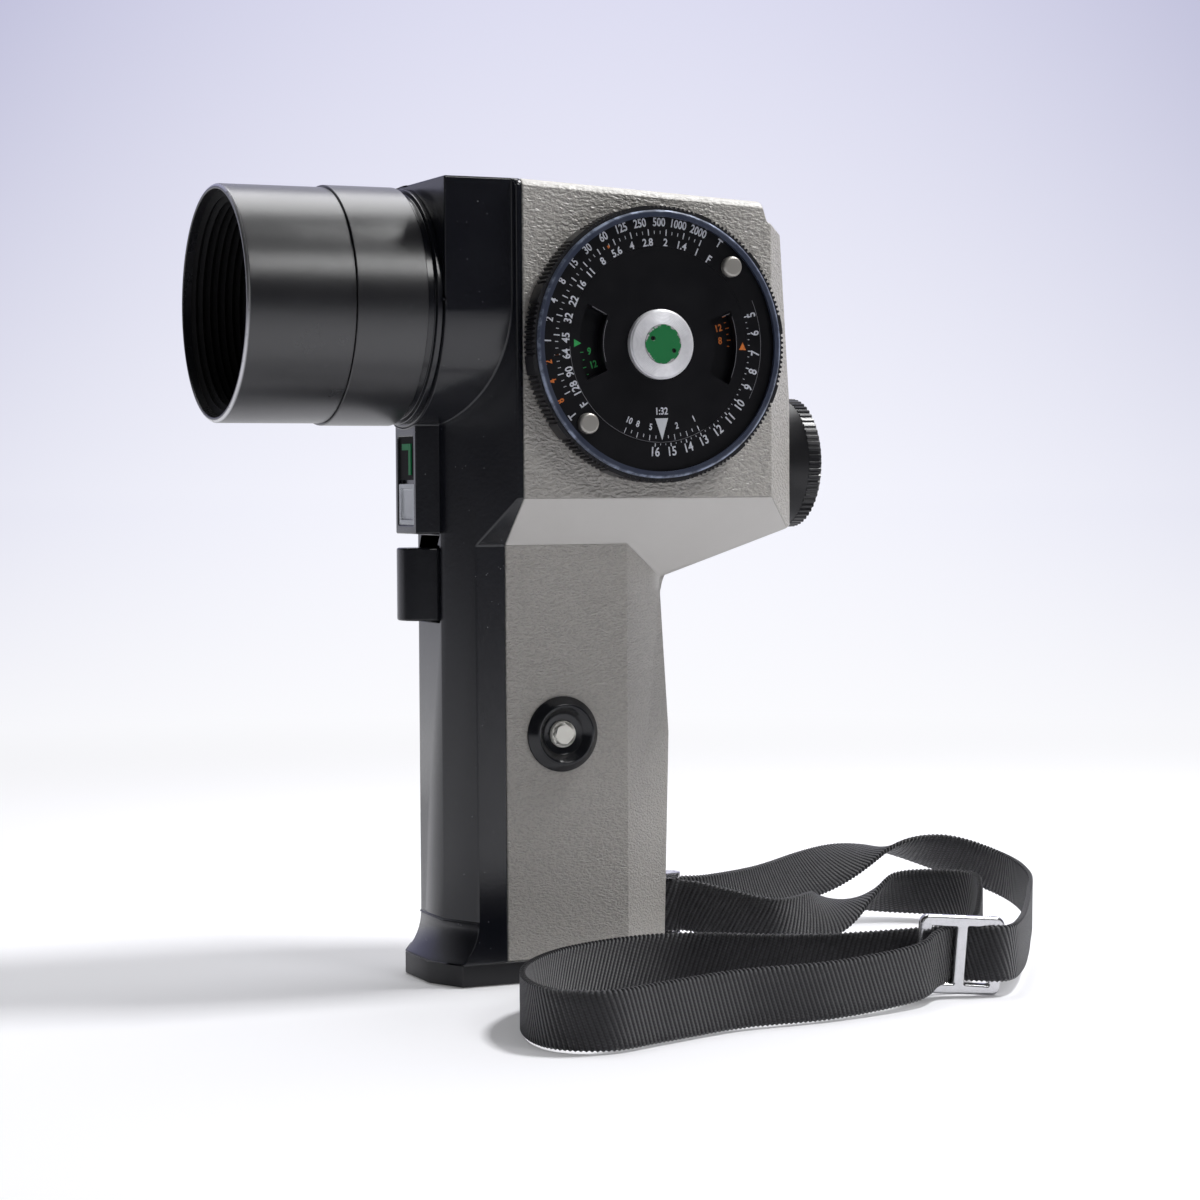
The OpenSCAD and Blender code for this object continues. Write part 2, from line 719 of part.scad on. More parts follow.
module trigger() {
    nose_r = trigger_w / 2;
    nose_x = strip_x - trigger_out + nose_r;
    z1 = trigger_z0 + trigger_h;
    color([0.05, 0.05, 0.055]) union() {
        // round nose, cut flat where the flange starts
        difference() {
            translate([nose_x, 0, trigger_z0]) cylinder(h = trigger_h, r = nose_r);
            translate([strip_x + wall + gap, -nose_r - 1, trigger_z0 - 1])
                cube([trigger_w, trigger_w + 2, trigger_h + 2]);
        }
        translate([nose_x, -nose_r, trigger_z0]) cube([strip_x + wall + gap - nose_x, trigger_w, trigger_h]);
        // inner flange that stops it in the slot
        translate([strip_x + wall + gap, -6.6, trigger_z0 - 1.6]) cube([1.4, 13.2, trigger_h + 3.2]);
        // stem in its guide
        rod_x(strip_x + wall + gap + 1.4, 12, 2, (trigger_z0 + z1) / 2);
    }
}

module trigger_guide() {
    zc = trigger_z0 + trigger_h / 2;
    x0 = strip_x + wall + gap + 1.4 + trigger_travel + 1.2;
    color([0.2, 0.2, 0.22]) difference() {
        union() {
            translate([x0, -grip_r + wall, zc - 4]) cube([3, grip_w - 2 * wall, 8]);
            rod_x(x0, 9, 4, zc);
        }
        rod_x(x0 - 1, 20, 2 + run, zc);
    }
}

module trigger_spring() {
    zc = trigger_z0 + trigger_h / 2;
    x0 = strip_x + wall + gap + 1.4;
    color([0.8, 0.8, 0.82]) translate([x0, 0, zc]) rotate([0, 90, 0])
        spring_sleeve(3.2, 0.6, trigger_travel + 1.2);
}

// Check button

module check_ring() {
    r = check_ring_d / 2;
    color([0.04, 0.04, 0.045]) translate([check_cx, check_cy, check_z]) rotate([90, 0, 0])
        rotate_extrude($fn = 64) polygon([[check_d / 2 + run, -2.6], [check_neck_r, -2.6],
            [check_neck_r, 0], [r, 0], [r, 0.5], [r - 1.7, 2.3],
            [r - 2.3, 2.3], [check_d / 2 + 1.6, 0.5], [check_d / 2 + run, 0.3]]);
}

module check_button() {
    color([0.93, 0.93, 0.9]) translate([check_cx, check_cy, check_z]) rotate([90, 0, 0]) {
        translate([0, 0, -8]) cylinder(h = 9, r = check_d / 2);
        translate([0, 0, 1]) cylinder(h = 0.5, r1 = check_d / 2, r2 = check_d / 2 - 0.5);
        translate([0, 0, -3.9]) cylinder(h = 1, r = check_d / 2 + 1);
    }
}

module check_guide() {
    color([0.2, 0.2, 0.22]) translate([check_cx, check_cy, check_z]) rotate([90, 0, 0]) difference() {
        translate([0, 0, -9.4]) cylinder(h = 9.4 - wall, r = check_neck_r + 1.2);
        translate([0, 0, -7.4]) cylinder(h = 20, r = check_neck_r);
        translate([0, 0, -12]) cylinder(h = 8, r = check_d / 2 + run);
    }
}

// Dial

module dial_plate() {
    color([0.08, 0.08, 0.085]) difference() {
        on_dial(0, 1, cup_r);
        on_dial(-1, 2, axle_r + run);
    }
}

module dial_axle() {
    color([0.6, 0.6, 0.62]) union() {
        on_dial(-wall - 1.6, -wall, axle_r + 3);
        on_dial(-wall, face_z0, axle_r);
        on_dial(face_z0, face_z1, axle_top_r);
    }
}

module dial_ring() {
    color([0.07, 0.07, 0.075]) difference() {
        translate([dial_cx, side_y - 1.3, dial_z]) rotate([90, 0, 0]) linear_extrude(dial_h - 1.3)
            grip_outline(ring_r, 0.5);
        on_dial(web_top, dial_h + 1, cup_r);
        on_dial(0, dial_h, axle_r + run);
    }
}

module dial_bezel() {
    color([0.35, 0.4, 0.5]) difference() {
        union() {
            on_dial(dial_h, dial_h + 0.4, bezel_out_r);
            translate([dial_cx, side_y - dial_h - 0.4, dial_z]) rotate([90, 0, 0])
                cylinder(h = 0.4, r1 = bezel_out_r, r2 = bezel_out_r - 0.4);
        }
        on_dial(dial_h - 1, dial_h + 2, cup_r - 0.6);
    }
}

module speed_disc() {
    color([0.06, 0.06, 0.065]) difference() {
        on_dial(web_top, disc_top, face_r - 1);
        on_dial(web_top - 1, disc_top + 1, axle_r + run);
    }
}

module scale_ring() {
    color([0.05, 0.05, 0.055]) difference() {
        on_dial(web_top + gap, face_z1, scale_r);
        on_dial(web_top - 1, face_z1 + 1, face_r + run);
        for (s = [0, 1]) finger_pin_hole(s);
    }
}

// Place of a finger pin: s is 0 for the upper rear one and 1 for the lower front one
module at_pin(s) {
    a = 45 + 180 * s;
    translate([dial_cx + pin_r * cos(a), side_y, dial_z + pin_r * sin(a)]) rotate([90, 0, 0]) children();
}

module finger_pin_hole(s) {
    at_pin(s) translate([0, 0, face_z1 - 1.4]) cylinder(h = 4, r = pin_d / 2);
}

module finger_pin(s) {
    color([0.8, 0.8, 0.78]) at_pin(s) {
        translate([0, 0, face_z1 - 1.4]) cylinder(h = 2.6, r = pin_d / 2);
        translate([0, 0, face_z1 + 1.2]) cylinder(h = 0.4, r1 = pin_d / 2, r2 = pin_d / 2 - 0.4);
    }
}

module finger_pin_a() {
    finger_pin(0);
}

module finger_pin_b() {
    finger_pin(1);
}

// A curved window through the scale disc, from angle a0 to angle a1
module arc_window(r0, r1, a0, a1) {
    n = 16;
    translate([dial_cx, side_y - face_z0 + 1, dial_z]) rotate([90, 0, 0]) linear_extrude(dial_h)
        polygon(concat([for (i = [0:n]) let (a = a0 + (a1 - a0) * i / n) [r1 * cos(a), r1 * sin(a)]],
            [for (i = [n:-1:0]) let (a = a0 + (a1 - a0) * i / n) [r0 * cos(a), r0 * sin(a)]]));
}

module face_disc() {
    color([0.05, 0.05, 0.055]) difference() {
        on_dial(face_z0, face_z1, face_r);
        on_dial(face_z0 - 1, face_z1 + 1, axle_top_r + fit);
        arc_window(face_r * 0.63, face_r * 0.885, -27, 24);
        arc_window(face_r * 0.645, face_r * 0.89, 153, 205);
    }
}

module dial_hub() {
    r = hub_d / 2;
    color([0.8, 0.8, 0.8]) translate([dial_cx, side_y - face_z1, dial_z]) rotate([90, 0, 0])
        rotate_extrude($fn = 64)
        polygon([[0, 0], [r, 0], [r, 1.2], [r - 0.5, 1.7], [r * 0.57, 1.9], [r * 0.57, 1.5], [0, 1.5]]);
}

module hub_cap() {
    color([0.1, 0.5, 0.2]) translate([dial_cx, side_y - face_z1 - 1.5, dial_z]) rotate([90, 0, 0])
        difference() {
        cylinder(h = 0.5, r = hub_d / 2 * 0.56);
        for (s = [-1, 1]) translate([2.6 * s, -1.3 * s, 0.15]) cylinder(h = 2, r = 0.5);
    }
}

// Eyepiece

module eye_flange() {
    color([0.06, 0.06, 0.065]) difference() {
        union() {
            rod_x(rear_x, flange_h, eye_d / 2 - 2.2, eye_z);
            rod_x(rear_x - wall - 6, wall + 6 + flange_h + 3, eye_tube_r + 1, eye_z);
        }
        rod_x(rear_x - 20, 50, eye_tube_r - 0.6, eye_z);
    }
}

module eye_cell() {
    color([0.1, 0.1, 0.11]) difference() {
        rod_x(rear_x - 3, 8, eye_tube_r - 0.6 - run, eye_z);
        rod_x(rear_x - 4, 14, eye_tube_r - 2.4, eye_z);
    }
}

module eye_lens() {
    color([0.6, 0.65, 0.75, 0.5]) rod_x(rear_x + 2, 2.4, eye_tube_r - 2.4, eye_z);
}

module dioptre_ring() {
    x0 = rear_x + flange_h + gap;
    rim = 3.5;
    color([0.06, 0.06, 0.065]) difference() {
        union() {
            rod_x(x0, eye_end_x - rim - x0, eye_d / 2 - 2.8, eye_z, eye_d / 2 - 0.3);
            translate([eye_end_x - rim, 0, eye_z]) rotate([0, 90, 0]) linear_extrude(rim - 0.4)
                toothed(eye_d / 2, eye_ribs, 0.4);
            rod_x(eye_end_x - 0.4, 0.4, eye_d / 2 - 0.4, eye_z, eye_d / 2 - 0.8);
        }
        // runs on the tube, with a cup for the eye behind
        rod_x(x0 - 1, 30, eye_tube_r - 1.6, eye_z);
        rod_x(x0 - 1, 1 + 5, eye_tube_r + 1 + run, eye_z);
        rod_x(eye_end_x - 1.4, 3, eye_d / 2 - 1.8, eye_z);
    }
}

// Optics and circuit on the chassis

module chassis() {
    color([0.3, 0.3, 0.32]) union() {
        translate([chassis_x, chassis_y, chin_z + 8]) cube([chassis_l, plate_t, total_h - chin_z - 14]);
        // brackets to the side wall
        for (z = [chin_z + 16, total_h - 18], x = [chassis_x + 4, chassis_x + chassis_l - 6])
            translate([x, chassis_y + plate_t, z]) cube([4, head_r - wall - chassis_y - plate_t, 4]);
        // shelf and cradle under the prism
        translate([mirror_x - 12, chassis_y - shelf_w, chin_z + 8]) cube([shelf_w, shelf_w, plate_t]);
        across(8) polygon([[mirror_x - 8, prism_z0], [mirror_x + 10, prism_z0],
            [mirror_x - 8, prism_z0 + 18]]);
        // shelf under the meter, open over the prism
        translate([mirror_x - 12, chassis_y - shelf_w, chin_z + 38]) difference() {
            cube([chassis_l, shelf_w, plate_t]);
            translate([5, 5, -1]) cube([14, 16, 4]);
        }
    }
}

module beam_mirror() {
    l = 9.2;
    t = 0.9;
    color([0.8, 0.85, 0.9]) difference() {
        across(chassis_y) polygon([[mirror_x - l, lens_z + l], [mirror_x + l, lens_z - l],
            [mirror_x + l + t, lens_z - l + t], [mirror_x - l + t, lens_z + l + t]]);
        rod_x(mirror_x - 5, 12, 2, lens_z);
    }
}

module field_prism() {
    color([0.7, 0.75, 0.85, 0.5]) across(8) polygon([[mirror_x - 8, prism_z0 + 18],
        [mirror_x + 10, prism_z0],
        [mirror_x + 10, prism_z0 + 18]]);
}

module photo_cell() {
    color([0.5, 0.5, 0.45]) {
        rod_x(mirror_x + 22, 3, 5, lens_z);
        translate([mirror_x + 22, 0, lens_z - 2]) cube([3, chassis_y, 4]);
    }
}

module meter_drum() {
    color([0.65, 0.66, 0.68]) translate([meter_x, -4, meter_z]) difference() {
        cylinder(h = 7, r = 7);
        translate([0, 0, 6.2]) cylinder(h = 3, r = 3);
        translate([0, 0, 3]) cylinder(h = 5, r = 0.6 + run);
    }
}

module meter_needle() {
    color([0.9, 0.25, 0.1]) translate([meter_x, -4, meter_z]) {
        translate([0, 0, 4]) cylinder(h = 4.4, r = 0.6);
        translate([-10, -0.4, 7.6]) cube([13, 0.8, 0.4]);
    }
}

module circuit_board() {
    color([0.1, 0.35, 0.2]) translate([mirror_x - 5, chassis_y + plate_t, chin_z + 34])
        cube([board_l, plate_t, total_h - chin_z - 44]);
}

module board_parts() {
    y = chassis_y + 2 * plate_t;
    color([0.25, 0.22, 0.2]) {
        for (i = [0:2]) translate([mirror_x - 1 + 5 * i, y, total_h - 18]) rotate([-90, 0, 0])
            cylinder(h = 3, r = 1.6);
        translate([mirror_x + 8, y, chin_z + 44]) cube([8, 2, 6]);
    }
}

module housing_screws() {
    color([0.6, 0.6, 0.62]) for (s = [-1, 1], t = [-1, 1]) {
        rod_x_at(part_x - 5.4, 1.4, 1.9, s * lug_screw_y, lens_z + t * lug_screw_z);
        rod_x_at(part_x - 4, 9, 1.2, s * lug_screw_y, lens_z + t * lug_screw_z);
    }
}

// Strap

// A point on the smooth curve through the route q, at t from 0 to 1 between point i and the next
function curve_at(q, i, t) =
    let (n = len(q) - 1, a = q[max(i - 1, 0)], b = q[i], c = q[min(i + 1, n)], d = q[min(i + 2, n)])
    0.5 * (2 * b + (c - a) * t + (2 * a - 5 * b + 4 * c - d) * t * t + (3 * b - a - 3 * c + d) * t * t * t);

function trace(q, steps) =
    concat([for (i = [0:len(q) - 2], k = [0:steps - 1]) curve_at(q, i, k / steps)], [q[len(q) - 1]]);

function xyz(p) = [p[0], p[1], p[2]];

function unit(v) = v / norm(v);

// Flat webbing swept along a route: 8 points round each section
module webbing(route, steps) {
    p = trace(route, steps);
    n = len(p);
    rim = [[-0.5, -0.3], [-0.5, 0.3], [-0.46, 0.5], [0.46, 0.5], [0.5, 0.3], [0.5, -0.3],
        [0.46, -0.5], [-0.46, -0.5]];
    rings = [for (i = [0:n - 1])
        let (t = unit(xyz(p[min(i + 1, n - 1)]) - xyz(p[max(i - 1, 0)])), side = unit(cross([0, 0, 1], t)),
            rise = cross(t, side), a = p[i][3], u = rise * cos(a) + side * sin(a),
            v = side * cos(a) - rise * sin(a))
        [for (c = rim) xyz(p[i]) + u * c[0] * web_w + v * c[1] * web_t]];
    m = len(rim);
    polyhedron(points = [for (r = rings, c = r) c], faces = concat(
        [for (i = [0:n - 2], j = [0:m - 1]) each
            [[i * m + j, i * m + (j + 1) % m, (i + 1) * m + (j + 1) % m],
            [i * m + j, (i + 1) * m + (j + 1) % m, (i + 1) * m + j]]],
        [for (j = [1:m - 2]) [0, j + 1, j]],
        [for (j = [1:m - 2]) [(n - 1) * m, (n - 1) * m + j, (n - 1) * m + j + 1]]));
}

module strap() {
    color([0.07, 0.07, 0.075]) webbing(strap_route, 2);
}

module strap_slider() {
    slot = (slider_l - 3 * slider_bar) / 2;
    color([0.85, 0.85, 0.87]) translate(slider_at) rotate([0, slider_lean, slider_turn]) rotate([90, 0, 0])
        translate([0, 0, -0.7]) linear_extrude(1.4) difference() {
            hull() for (x = [-1, 1], z = [-1, 1])
                translate([x * (slider_l / 2 - 1.6), z * (slider_h / 2 - 1.6)]) circle(1.6, $fn = 32);
            for (s = [-1, 1]) translate([s * (slot + slider_bar) / 2, 0])
                square([slot, web_w + 0.8], center = true);
        }
}

front_housing();
rear_shell();
base_plate();
base_screws();
tripod_bush();
battery_cap();
battery_tube();
battery();
battery_contact();
strap_lug();
strap_pin();
mount_ring();
barrel_rear();
barrel_front();
hood_liner();
objective_ring();
objective_front();
objective_rear();
name_panel();
panel_inlay();
index_tile();
trigger();
trigger_guide();
trigger_spring();
check_ring();
check_button();
check_guide();
dial_plate();
dial_axle();
dial_ring();
dial_bezel();
speed_disc();
scale_ring();
finger_pin_a();
finger_pin_b();
face_disc();
dial_hub();
hub_cap();
eye_flange();
eye_cell();
eye_lens();
dioptre_ring();
chassis();
beam_mirror();
field_prism();
photo_cell();
meter_drum();
meter_needle();
circuit_board();
board_parts();
housing_screws();
strap();
strap_slider();
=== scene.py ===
import bpy
import bmesh
import json
import math
from mathutils import Matrix, Vector

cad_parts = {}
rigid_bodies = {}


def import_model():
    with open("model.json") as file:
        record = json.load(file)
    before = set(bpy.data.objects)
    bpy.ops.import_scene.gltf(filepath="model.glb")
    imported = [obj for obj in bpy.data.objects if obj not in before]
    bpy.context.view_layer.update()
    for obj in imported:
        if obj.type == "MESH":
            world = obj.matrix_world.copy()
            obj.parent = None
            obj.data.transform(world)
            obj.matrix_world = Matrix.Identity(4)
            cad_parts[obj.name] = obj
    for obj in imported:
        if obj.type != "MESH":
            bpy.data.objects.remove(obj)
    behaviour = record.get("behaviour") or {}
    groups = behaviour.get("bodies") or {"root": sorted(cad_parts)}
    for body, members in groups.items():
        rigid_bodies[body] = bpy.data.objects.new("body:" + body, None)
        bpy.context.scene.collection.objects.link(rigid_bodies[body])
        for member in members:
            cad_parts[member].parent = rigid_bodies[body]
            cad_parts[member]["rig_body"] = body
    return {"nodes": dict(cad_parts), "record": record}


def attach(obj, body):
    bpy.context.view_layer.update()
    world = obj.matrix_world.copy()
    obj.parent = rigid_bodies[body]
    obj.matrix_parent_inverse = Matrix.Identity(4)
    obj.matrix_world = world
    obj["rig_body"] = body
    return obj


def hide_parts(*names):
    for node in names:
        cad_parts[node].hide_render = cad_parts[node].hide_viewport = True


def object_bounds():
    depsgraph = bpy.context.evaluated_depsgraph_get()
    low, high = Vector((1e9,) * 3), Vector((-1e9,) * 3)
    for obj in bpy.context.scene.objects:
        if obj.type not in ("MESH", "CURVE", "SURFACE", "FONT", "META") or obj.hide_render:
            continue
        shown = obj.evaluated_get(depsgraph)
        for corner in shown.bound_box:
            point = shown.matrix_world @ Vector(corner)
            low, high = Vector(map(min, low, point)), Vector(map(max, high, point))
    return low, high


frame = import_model()
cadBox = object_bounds()
nodes = frame["nodes"]
bodyOf = {name: piece["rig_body"] for name, piece in nodes.items()}
slotOf = {part["node"]: part["material_slot"] for part in frame["record"]["subparts"]}
mm = 0.001
print("frame loaded:", len(nodes), "nodes")


viewpoint = {
    "place": (-0.23895, -0.60003, 0.11039),  # metres
    "turn": -23.773,  # degrees away from +Y
    "tilt": 2.251,  # degrees down
    "roll": -0.336,
    "lens": 84.94,  # mm on a 36 mm sensor
}


def addCamera():
    turn, tilt, roll = (math.radians(viewpoint[key]) for key in ("turn", "tilt", "roll"))
    ahead = Vector((-math.sin(turn) * math.cos(tilt), math.cos(turn) * math.cos(tilt), -math.sin(tilt)))
    right = ahead.cross(Vector((0, 0, 1))).normalized()
    up = right.cross(ahead)
    frameRight = right * math.cos(roll) + up * math.sin(roll)
    frameUp = up * math.cos(roll) - right * math.sin(roll)
    data = bpy.data.cameras.new("viewCamera")
    data.lens = viewpoint["lens"]
    data.sensor_width = 36
    data.clip_start = 0.01
    data.clip_end = 50
    camera = bpy.data.objects.new("viewCamera", data)
    bpy.context.scene.collection.objects.link(camera)
    placed = Matrix((frameRight, frameUp, -ahead)).transposed().to_4x4()
    placed.translation = Vector(viewpoint["place"])
    camera.matrix_world = placed
    bpy.context.scene.camera = camera


addCamera()
print("camera placed")


class Wire:
    # one node's output; arithmetic on it adds Math nodes
    def __init__(self, finish, socket):
        self.finish = finish
        self.socket = socket

    def __add__(self, other):
        return self.finish.maths("ADD", self, other)

    def __radd__(self, other):
        return self.finish.maths("ADD", other, self)

    def __sub__(self, other):
        return self.finish.maths("SUBTRACT", self, other)

    def __rsub__(self, other):
        return self.finish.maths("SUBTRACT", other, self)

    def __mul__(self, other):
        return self.finish.maths("MULTIPLY", self, other)

    def __rmul__(self, other):
        return self.finish.maths("MULTIPLY", other, self)

    def __truediv__(self, other):
        return self.finish.maths("DIVIDE", self, other)

    def __rtruediv__(self, other):
        return self.finish.maths("DIVIDE", other, self)

    def __pow__(self, other):
        return self.finish.maths("POWER", self, other)


class Shading:
    # a node tree and the few ways used here to add to it
    def __init__(self, tree):
        self.tree = tree

    def node(self, kind, values, output=0, stops=None, **settings):
        made = self.tree.nodes.new("ShaderNode" + kind)
        for key, value in settings.items():
            setattr(made, key, value)
        if stops:
            ramp = made.color_ramp
            ramp.elements[0].position, ramp.elements[0].color = stops[0][0], (*stops[0][1], 1)
            ramp.elements[1].position, ramp.elements[1].color = stops[-1][0], (*stops[-1][1], 1)
            for place, colour in stops[1:-1]:
                ramp.elements.new(place).color = (*colour, 1)
        for key, value in values.items():
            if isinstance(value, Wire):
                self.tree.links.new(value.socket, made.inputs[key])
            else:
                made.inputs[key].default_value = value
        return Wire(self, made.outputs[output])

    def maths(self, operation, first, second=0.0, **settings):
        return self.node("Math", {0: first, 1: second}, operation=operation, **settings)

    def clamped(self, value):
        return self.maths("ADD", value, 0.0, use_clamp=True)

    def place(self):
        return self.node("TexCoord", {}, output=3)

    def axis(self, which, at=None):
        return self.node("SeparateXYZ", {0: at or self.place()}, output="XYZ".index(which))

    def mapped(self, shift=(0, 0, 0), turn=(0, 0, 0), scale=(1, 1, 1), at=None):
        values = {"Vector": at or self.place(), "Location": shift, "Rotation": turn, "Scale": scale}
        return self.node("Mapping", values)

    def noise(self, size, detail=3.0, roughness=0.55, at=None, distortion=0.0):
        values = {"Vector": at or self.place(), "Scale": 1 / size, "Detail": detail, "Roughness": roughness}
        return self.node("TexNoise", {**values, "Distortion": distortion})

    def cells(self, size, at=None, feature="F1", randomness=1.0):
        values = {"Vector": at or self.place(), "Scale": 1 / size, "Randomness": randomness}
        return self.node("TexVoronoi", values, feature=feature)

    def ramp(self, value, low, high):
        values = {"Value": value, "From Min": low, "From Max": high}
        return self.node("MapRange", values, interpolation_type="SMOOTHSTEP")

    def mixed(self, factor, first, second, blend="MIX"):
        values = {0: factor, 6: first, 7: second}
        for key in (6, 7):
            if isinstance(values[key], tuple) and len(values[key]) == 3:
                values[key] = (*values[key], 1)
        return self.node("Mix", values, output=2, data_type="RGBA", blend_type=blend)

    def bump(self, height, depth, strength=1.0, under=None):
        values = {"Height": height, "Distance": depth, "Strength": strength}
        if under:
            values["Normal"] = under
        return self.node("Bump", values)


class Finish(Shading):
    # one material on the Principled shader
    def __init__(self, name, colour, roughness, **fixed):
        self.material = bpy.data.materials.new(name)
        self.material.use_nodes = True
        super().__init__(self.material.node_tree)
        self.shader = self.tree.nodes["Principled BSDF"]
        self.shader.inputs["Base Color"].default_value = (*colour, 1)
        self.shader.inputs["Roughness"].default_value = roughness
        for socket, value in fixed.items():
            self.shader.inputs[socket.replace("_", " ")].default_value = value
        self.material.diffuse_color = (*colour, 1)

    def feed(self, **links):
        for socket, wire in links.items():
            self.tree.links.new(wire.socket, self.shader.inputs[socket.replace("_", " ")])
        return self.material


# from the lens axis, the dial axis and the upright through the tripod socket
lensHeight = 151.2 * mm
dialCentre = (25 * mm, 142 * mm)


def radiusAround(finish, first, second, a, b):
    # distance from an axis that runs through (first, second) on the two named coordinates
    at = finish.place()
    across = finish.axis(first, at) - a
    along = finish.axis(second, at) - b
    return finish.maths("SQRT", across * across + along * along)


def smudged(finish, base, spread, size=0.02):
    # roughness with faint handling marks
    marks = finish.noise(size, 4.0, 0.6)
    return base + (marks - 0.5) * spread


def paintedBlack():
    look = {
        "colour": (0.0052, 0.0058, 0.0095),
        "roughness": 0.2,
        "peel": 0.9 * mm,
        "dust": (0.42, 0.42, 0.44),
        "dustEvery": 1.5 * mm,
    }
    finish = Finish("blackEnamel", look["colour"], look["roughness"], Specular_IOR_Level=0.7)
    peel = finish.noise(look["peel"], 2.0, 0.4)
    speck = 1 - finish.ramp(finish.cells(look["dustEvery"]), 0.035, 0.075)
    settled = finish.ramp(finish.noise(7 * mm, 3.0, 0.6), 0.5, 0.62)
    shade = finish.mixed(finish.noise(12 * mm, 3.0), (0.85, 0.85, 0.85), (1.15, 1.15, 1.15))
    colour = finish.mixed(1.0, look["colour"], shade, "MULTIPLY")
    return finish.feed(
        Base_Color=finish.mixed(speck * settled * 0.8, colour, look["dust"]),
        Roughness=smudged(finish, look["roughness"], 0.14) + speck * settled * 0.4,
        Normal=finish.bump(peel + speck * settled * 0.5, 0.008 * mm),
    )


def leatherSkin():
    look = {
        "colour": (0.43, 0.412, 0.385),
        # painted shade for the grain's hollows
        "creaseShade": (0.375, 0.36, 0.337),
        # painted light: a paler colour for the chin and for the roof's long rounded edges
        "chin": (0.60, 0.585, 0.56),
        "headGrain": 0.66 * mm,
        "gripGrain": 0.46 * mm,
        "headDepth": 0.29 * mm,
        "gripDepth": 0.24 * mm,
        "roughness": 0.4,
    }
    finish = Finish("greyGrain", look["colour"], look["roughness"])
    at = finish.place()
    height = finish.axis("Z", at)
    rise = finish.axis("Z", finish.node("TexCoord", {}, output=1))
    upper = finish.ramp(height, 0.0968, 0.0974)
    # the moulded chin between head and grip faces down and is smooth, and its colour is painted paler as painted light
    # bounced up from the floor
    smooth = finish.ramp(0 - rise, 0.3, 0.45) * finish.ramp(height, 0.086, 0.088) * (1 - finish.ramp(height, 0.110, 0.111))
    onHead = upper * (1 - smooth)
    onGrip = (1 - upper) * (1 - smooth)
    # painted highlight: the long rounded edges of the roof are painted paler, with less grain, where the lamp above
    # catches them
    wearAndPaintedHighlight = finish.ramp(rise, 0.12, 0.5) * (1 - finish.ramp(rise, 0.93, 0.995)) * finish.ramp(height, 0.168, 0.172)
    drift = finish.node("TexNoise", {"Vector": at, "Scale": 620.0, "Detail": 2.0}, output=1)
    drift = finish.node("VectorMath", {0: drift, 1: (0.5, 0.5, 0.5)}, operation="SUBTRACT")
    drift = finish.node("VectorMath", {0: drift, "Scale": 0.8 * mm}, operation="SCALE")
    bent = finish.node("VectorMath", {0: at, 1: drift}, operation="ADD")
    coarseAt = finish.mapped(scale=(0.62, 0.85, 1.2), at=bent)
    fineAt = finish.mapped(scale=(0.6, 0.85, 1.25), at=bent)
    coarse = finish.noise(look["headGrain"], 1.5, 0.5, coarseAt)
    fine = finish.noise(look["gripGrain"], 1.5, 0.5, fineAt)
    pebble = 1 - finish.cells(look["headGrain"] * 1.1, coarseAt)
    pores = finish.noise(0.2 * mm, 2.0, 0.5)
    headRelief = coarse * 1.7 + pebble * 0.5 + pores * 0.1
    gripRelief = fine * 1.8 + pores * 0.2
    relief = headRelief * onHead * look["headDepth"] + gripRelief * onGrip * look["gripDepth"]
    relief = relief * (1 - wearAndPaintedHighlight * 0.55) + pores * smooth * 0.006 * mm
    # painted shade: the grain's hollows take a darker colour than its raised parts
    raised = finish.ramp(coarse, 0.36, 0.56) * onHead + finish.ramp(fine, 0.36, 0.56) * onGrip
    colour = finish.mixed(raised, look["creaseShade"], look["colour"])
    # painted light: the downward chin paler as painted floor bounce, the roof's rounded edges paler as a painted
    # highlight
    colour = finish.mixed(finish.clamped(smooth + wearAndPaintedHighlight * 0.9), colour, look["chin"])
    stain = finish.mixed(finish.noise(18 * mm, 4.0, 0.6), (0.95, 0.945, 0.935), (1.04, 1.04, 1.045))
    return finish.feed(
        Base_Color=finish.mixed(1.0, colour, stain, "MULTIPLY"),
        Roughness=smudged(finish, look["roughness"], 0.12, 0.006),
        Normal=finish.bump(relief, 1.0),
    )


def mouldedPlastic(name, colour, roughness, grain=0.25 * mm, depth=0.01 * mm, **fixed):
    finish = Finish(name, colour, roughness, **fixed)
    speckle = finish.noise(grain, 3.0, 0.6)
    lift = tuple(min(1.0, part * 1.25 + 0.004) for part in colour)
    return finish.feed(
        Base_Color=finish.mixed(finish.noise(5 * mm, 3.0), colour, lift),
        Roughness=smudged(finish, roughness, 0.14, 0.01),
        Normal=finish.bump(speckle, depth),
    )


def machinedMetal(name, colour, roughness, stretch=(1, 1, 12), grain=0.2 * mm):
    finish = Finish(name, colour, roughness, Metallic=1.0)
    drawn = finish.noise(grain, 3.0, 0.6, finish.mapped(scale=stretch))
    dull = tuple(part * 0.72 for part in colour)
    return finish.feed(
        Base_Color=finish.mixed(finish.noise(3 * mm, 4.0, 0.65), colour, dull),
        Roughness=roughness + (drawn - 0.5) * 0.25,
        Normal=finish.bump(drawn, 0.006 * mm),
    )


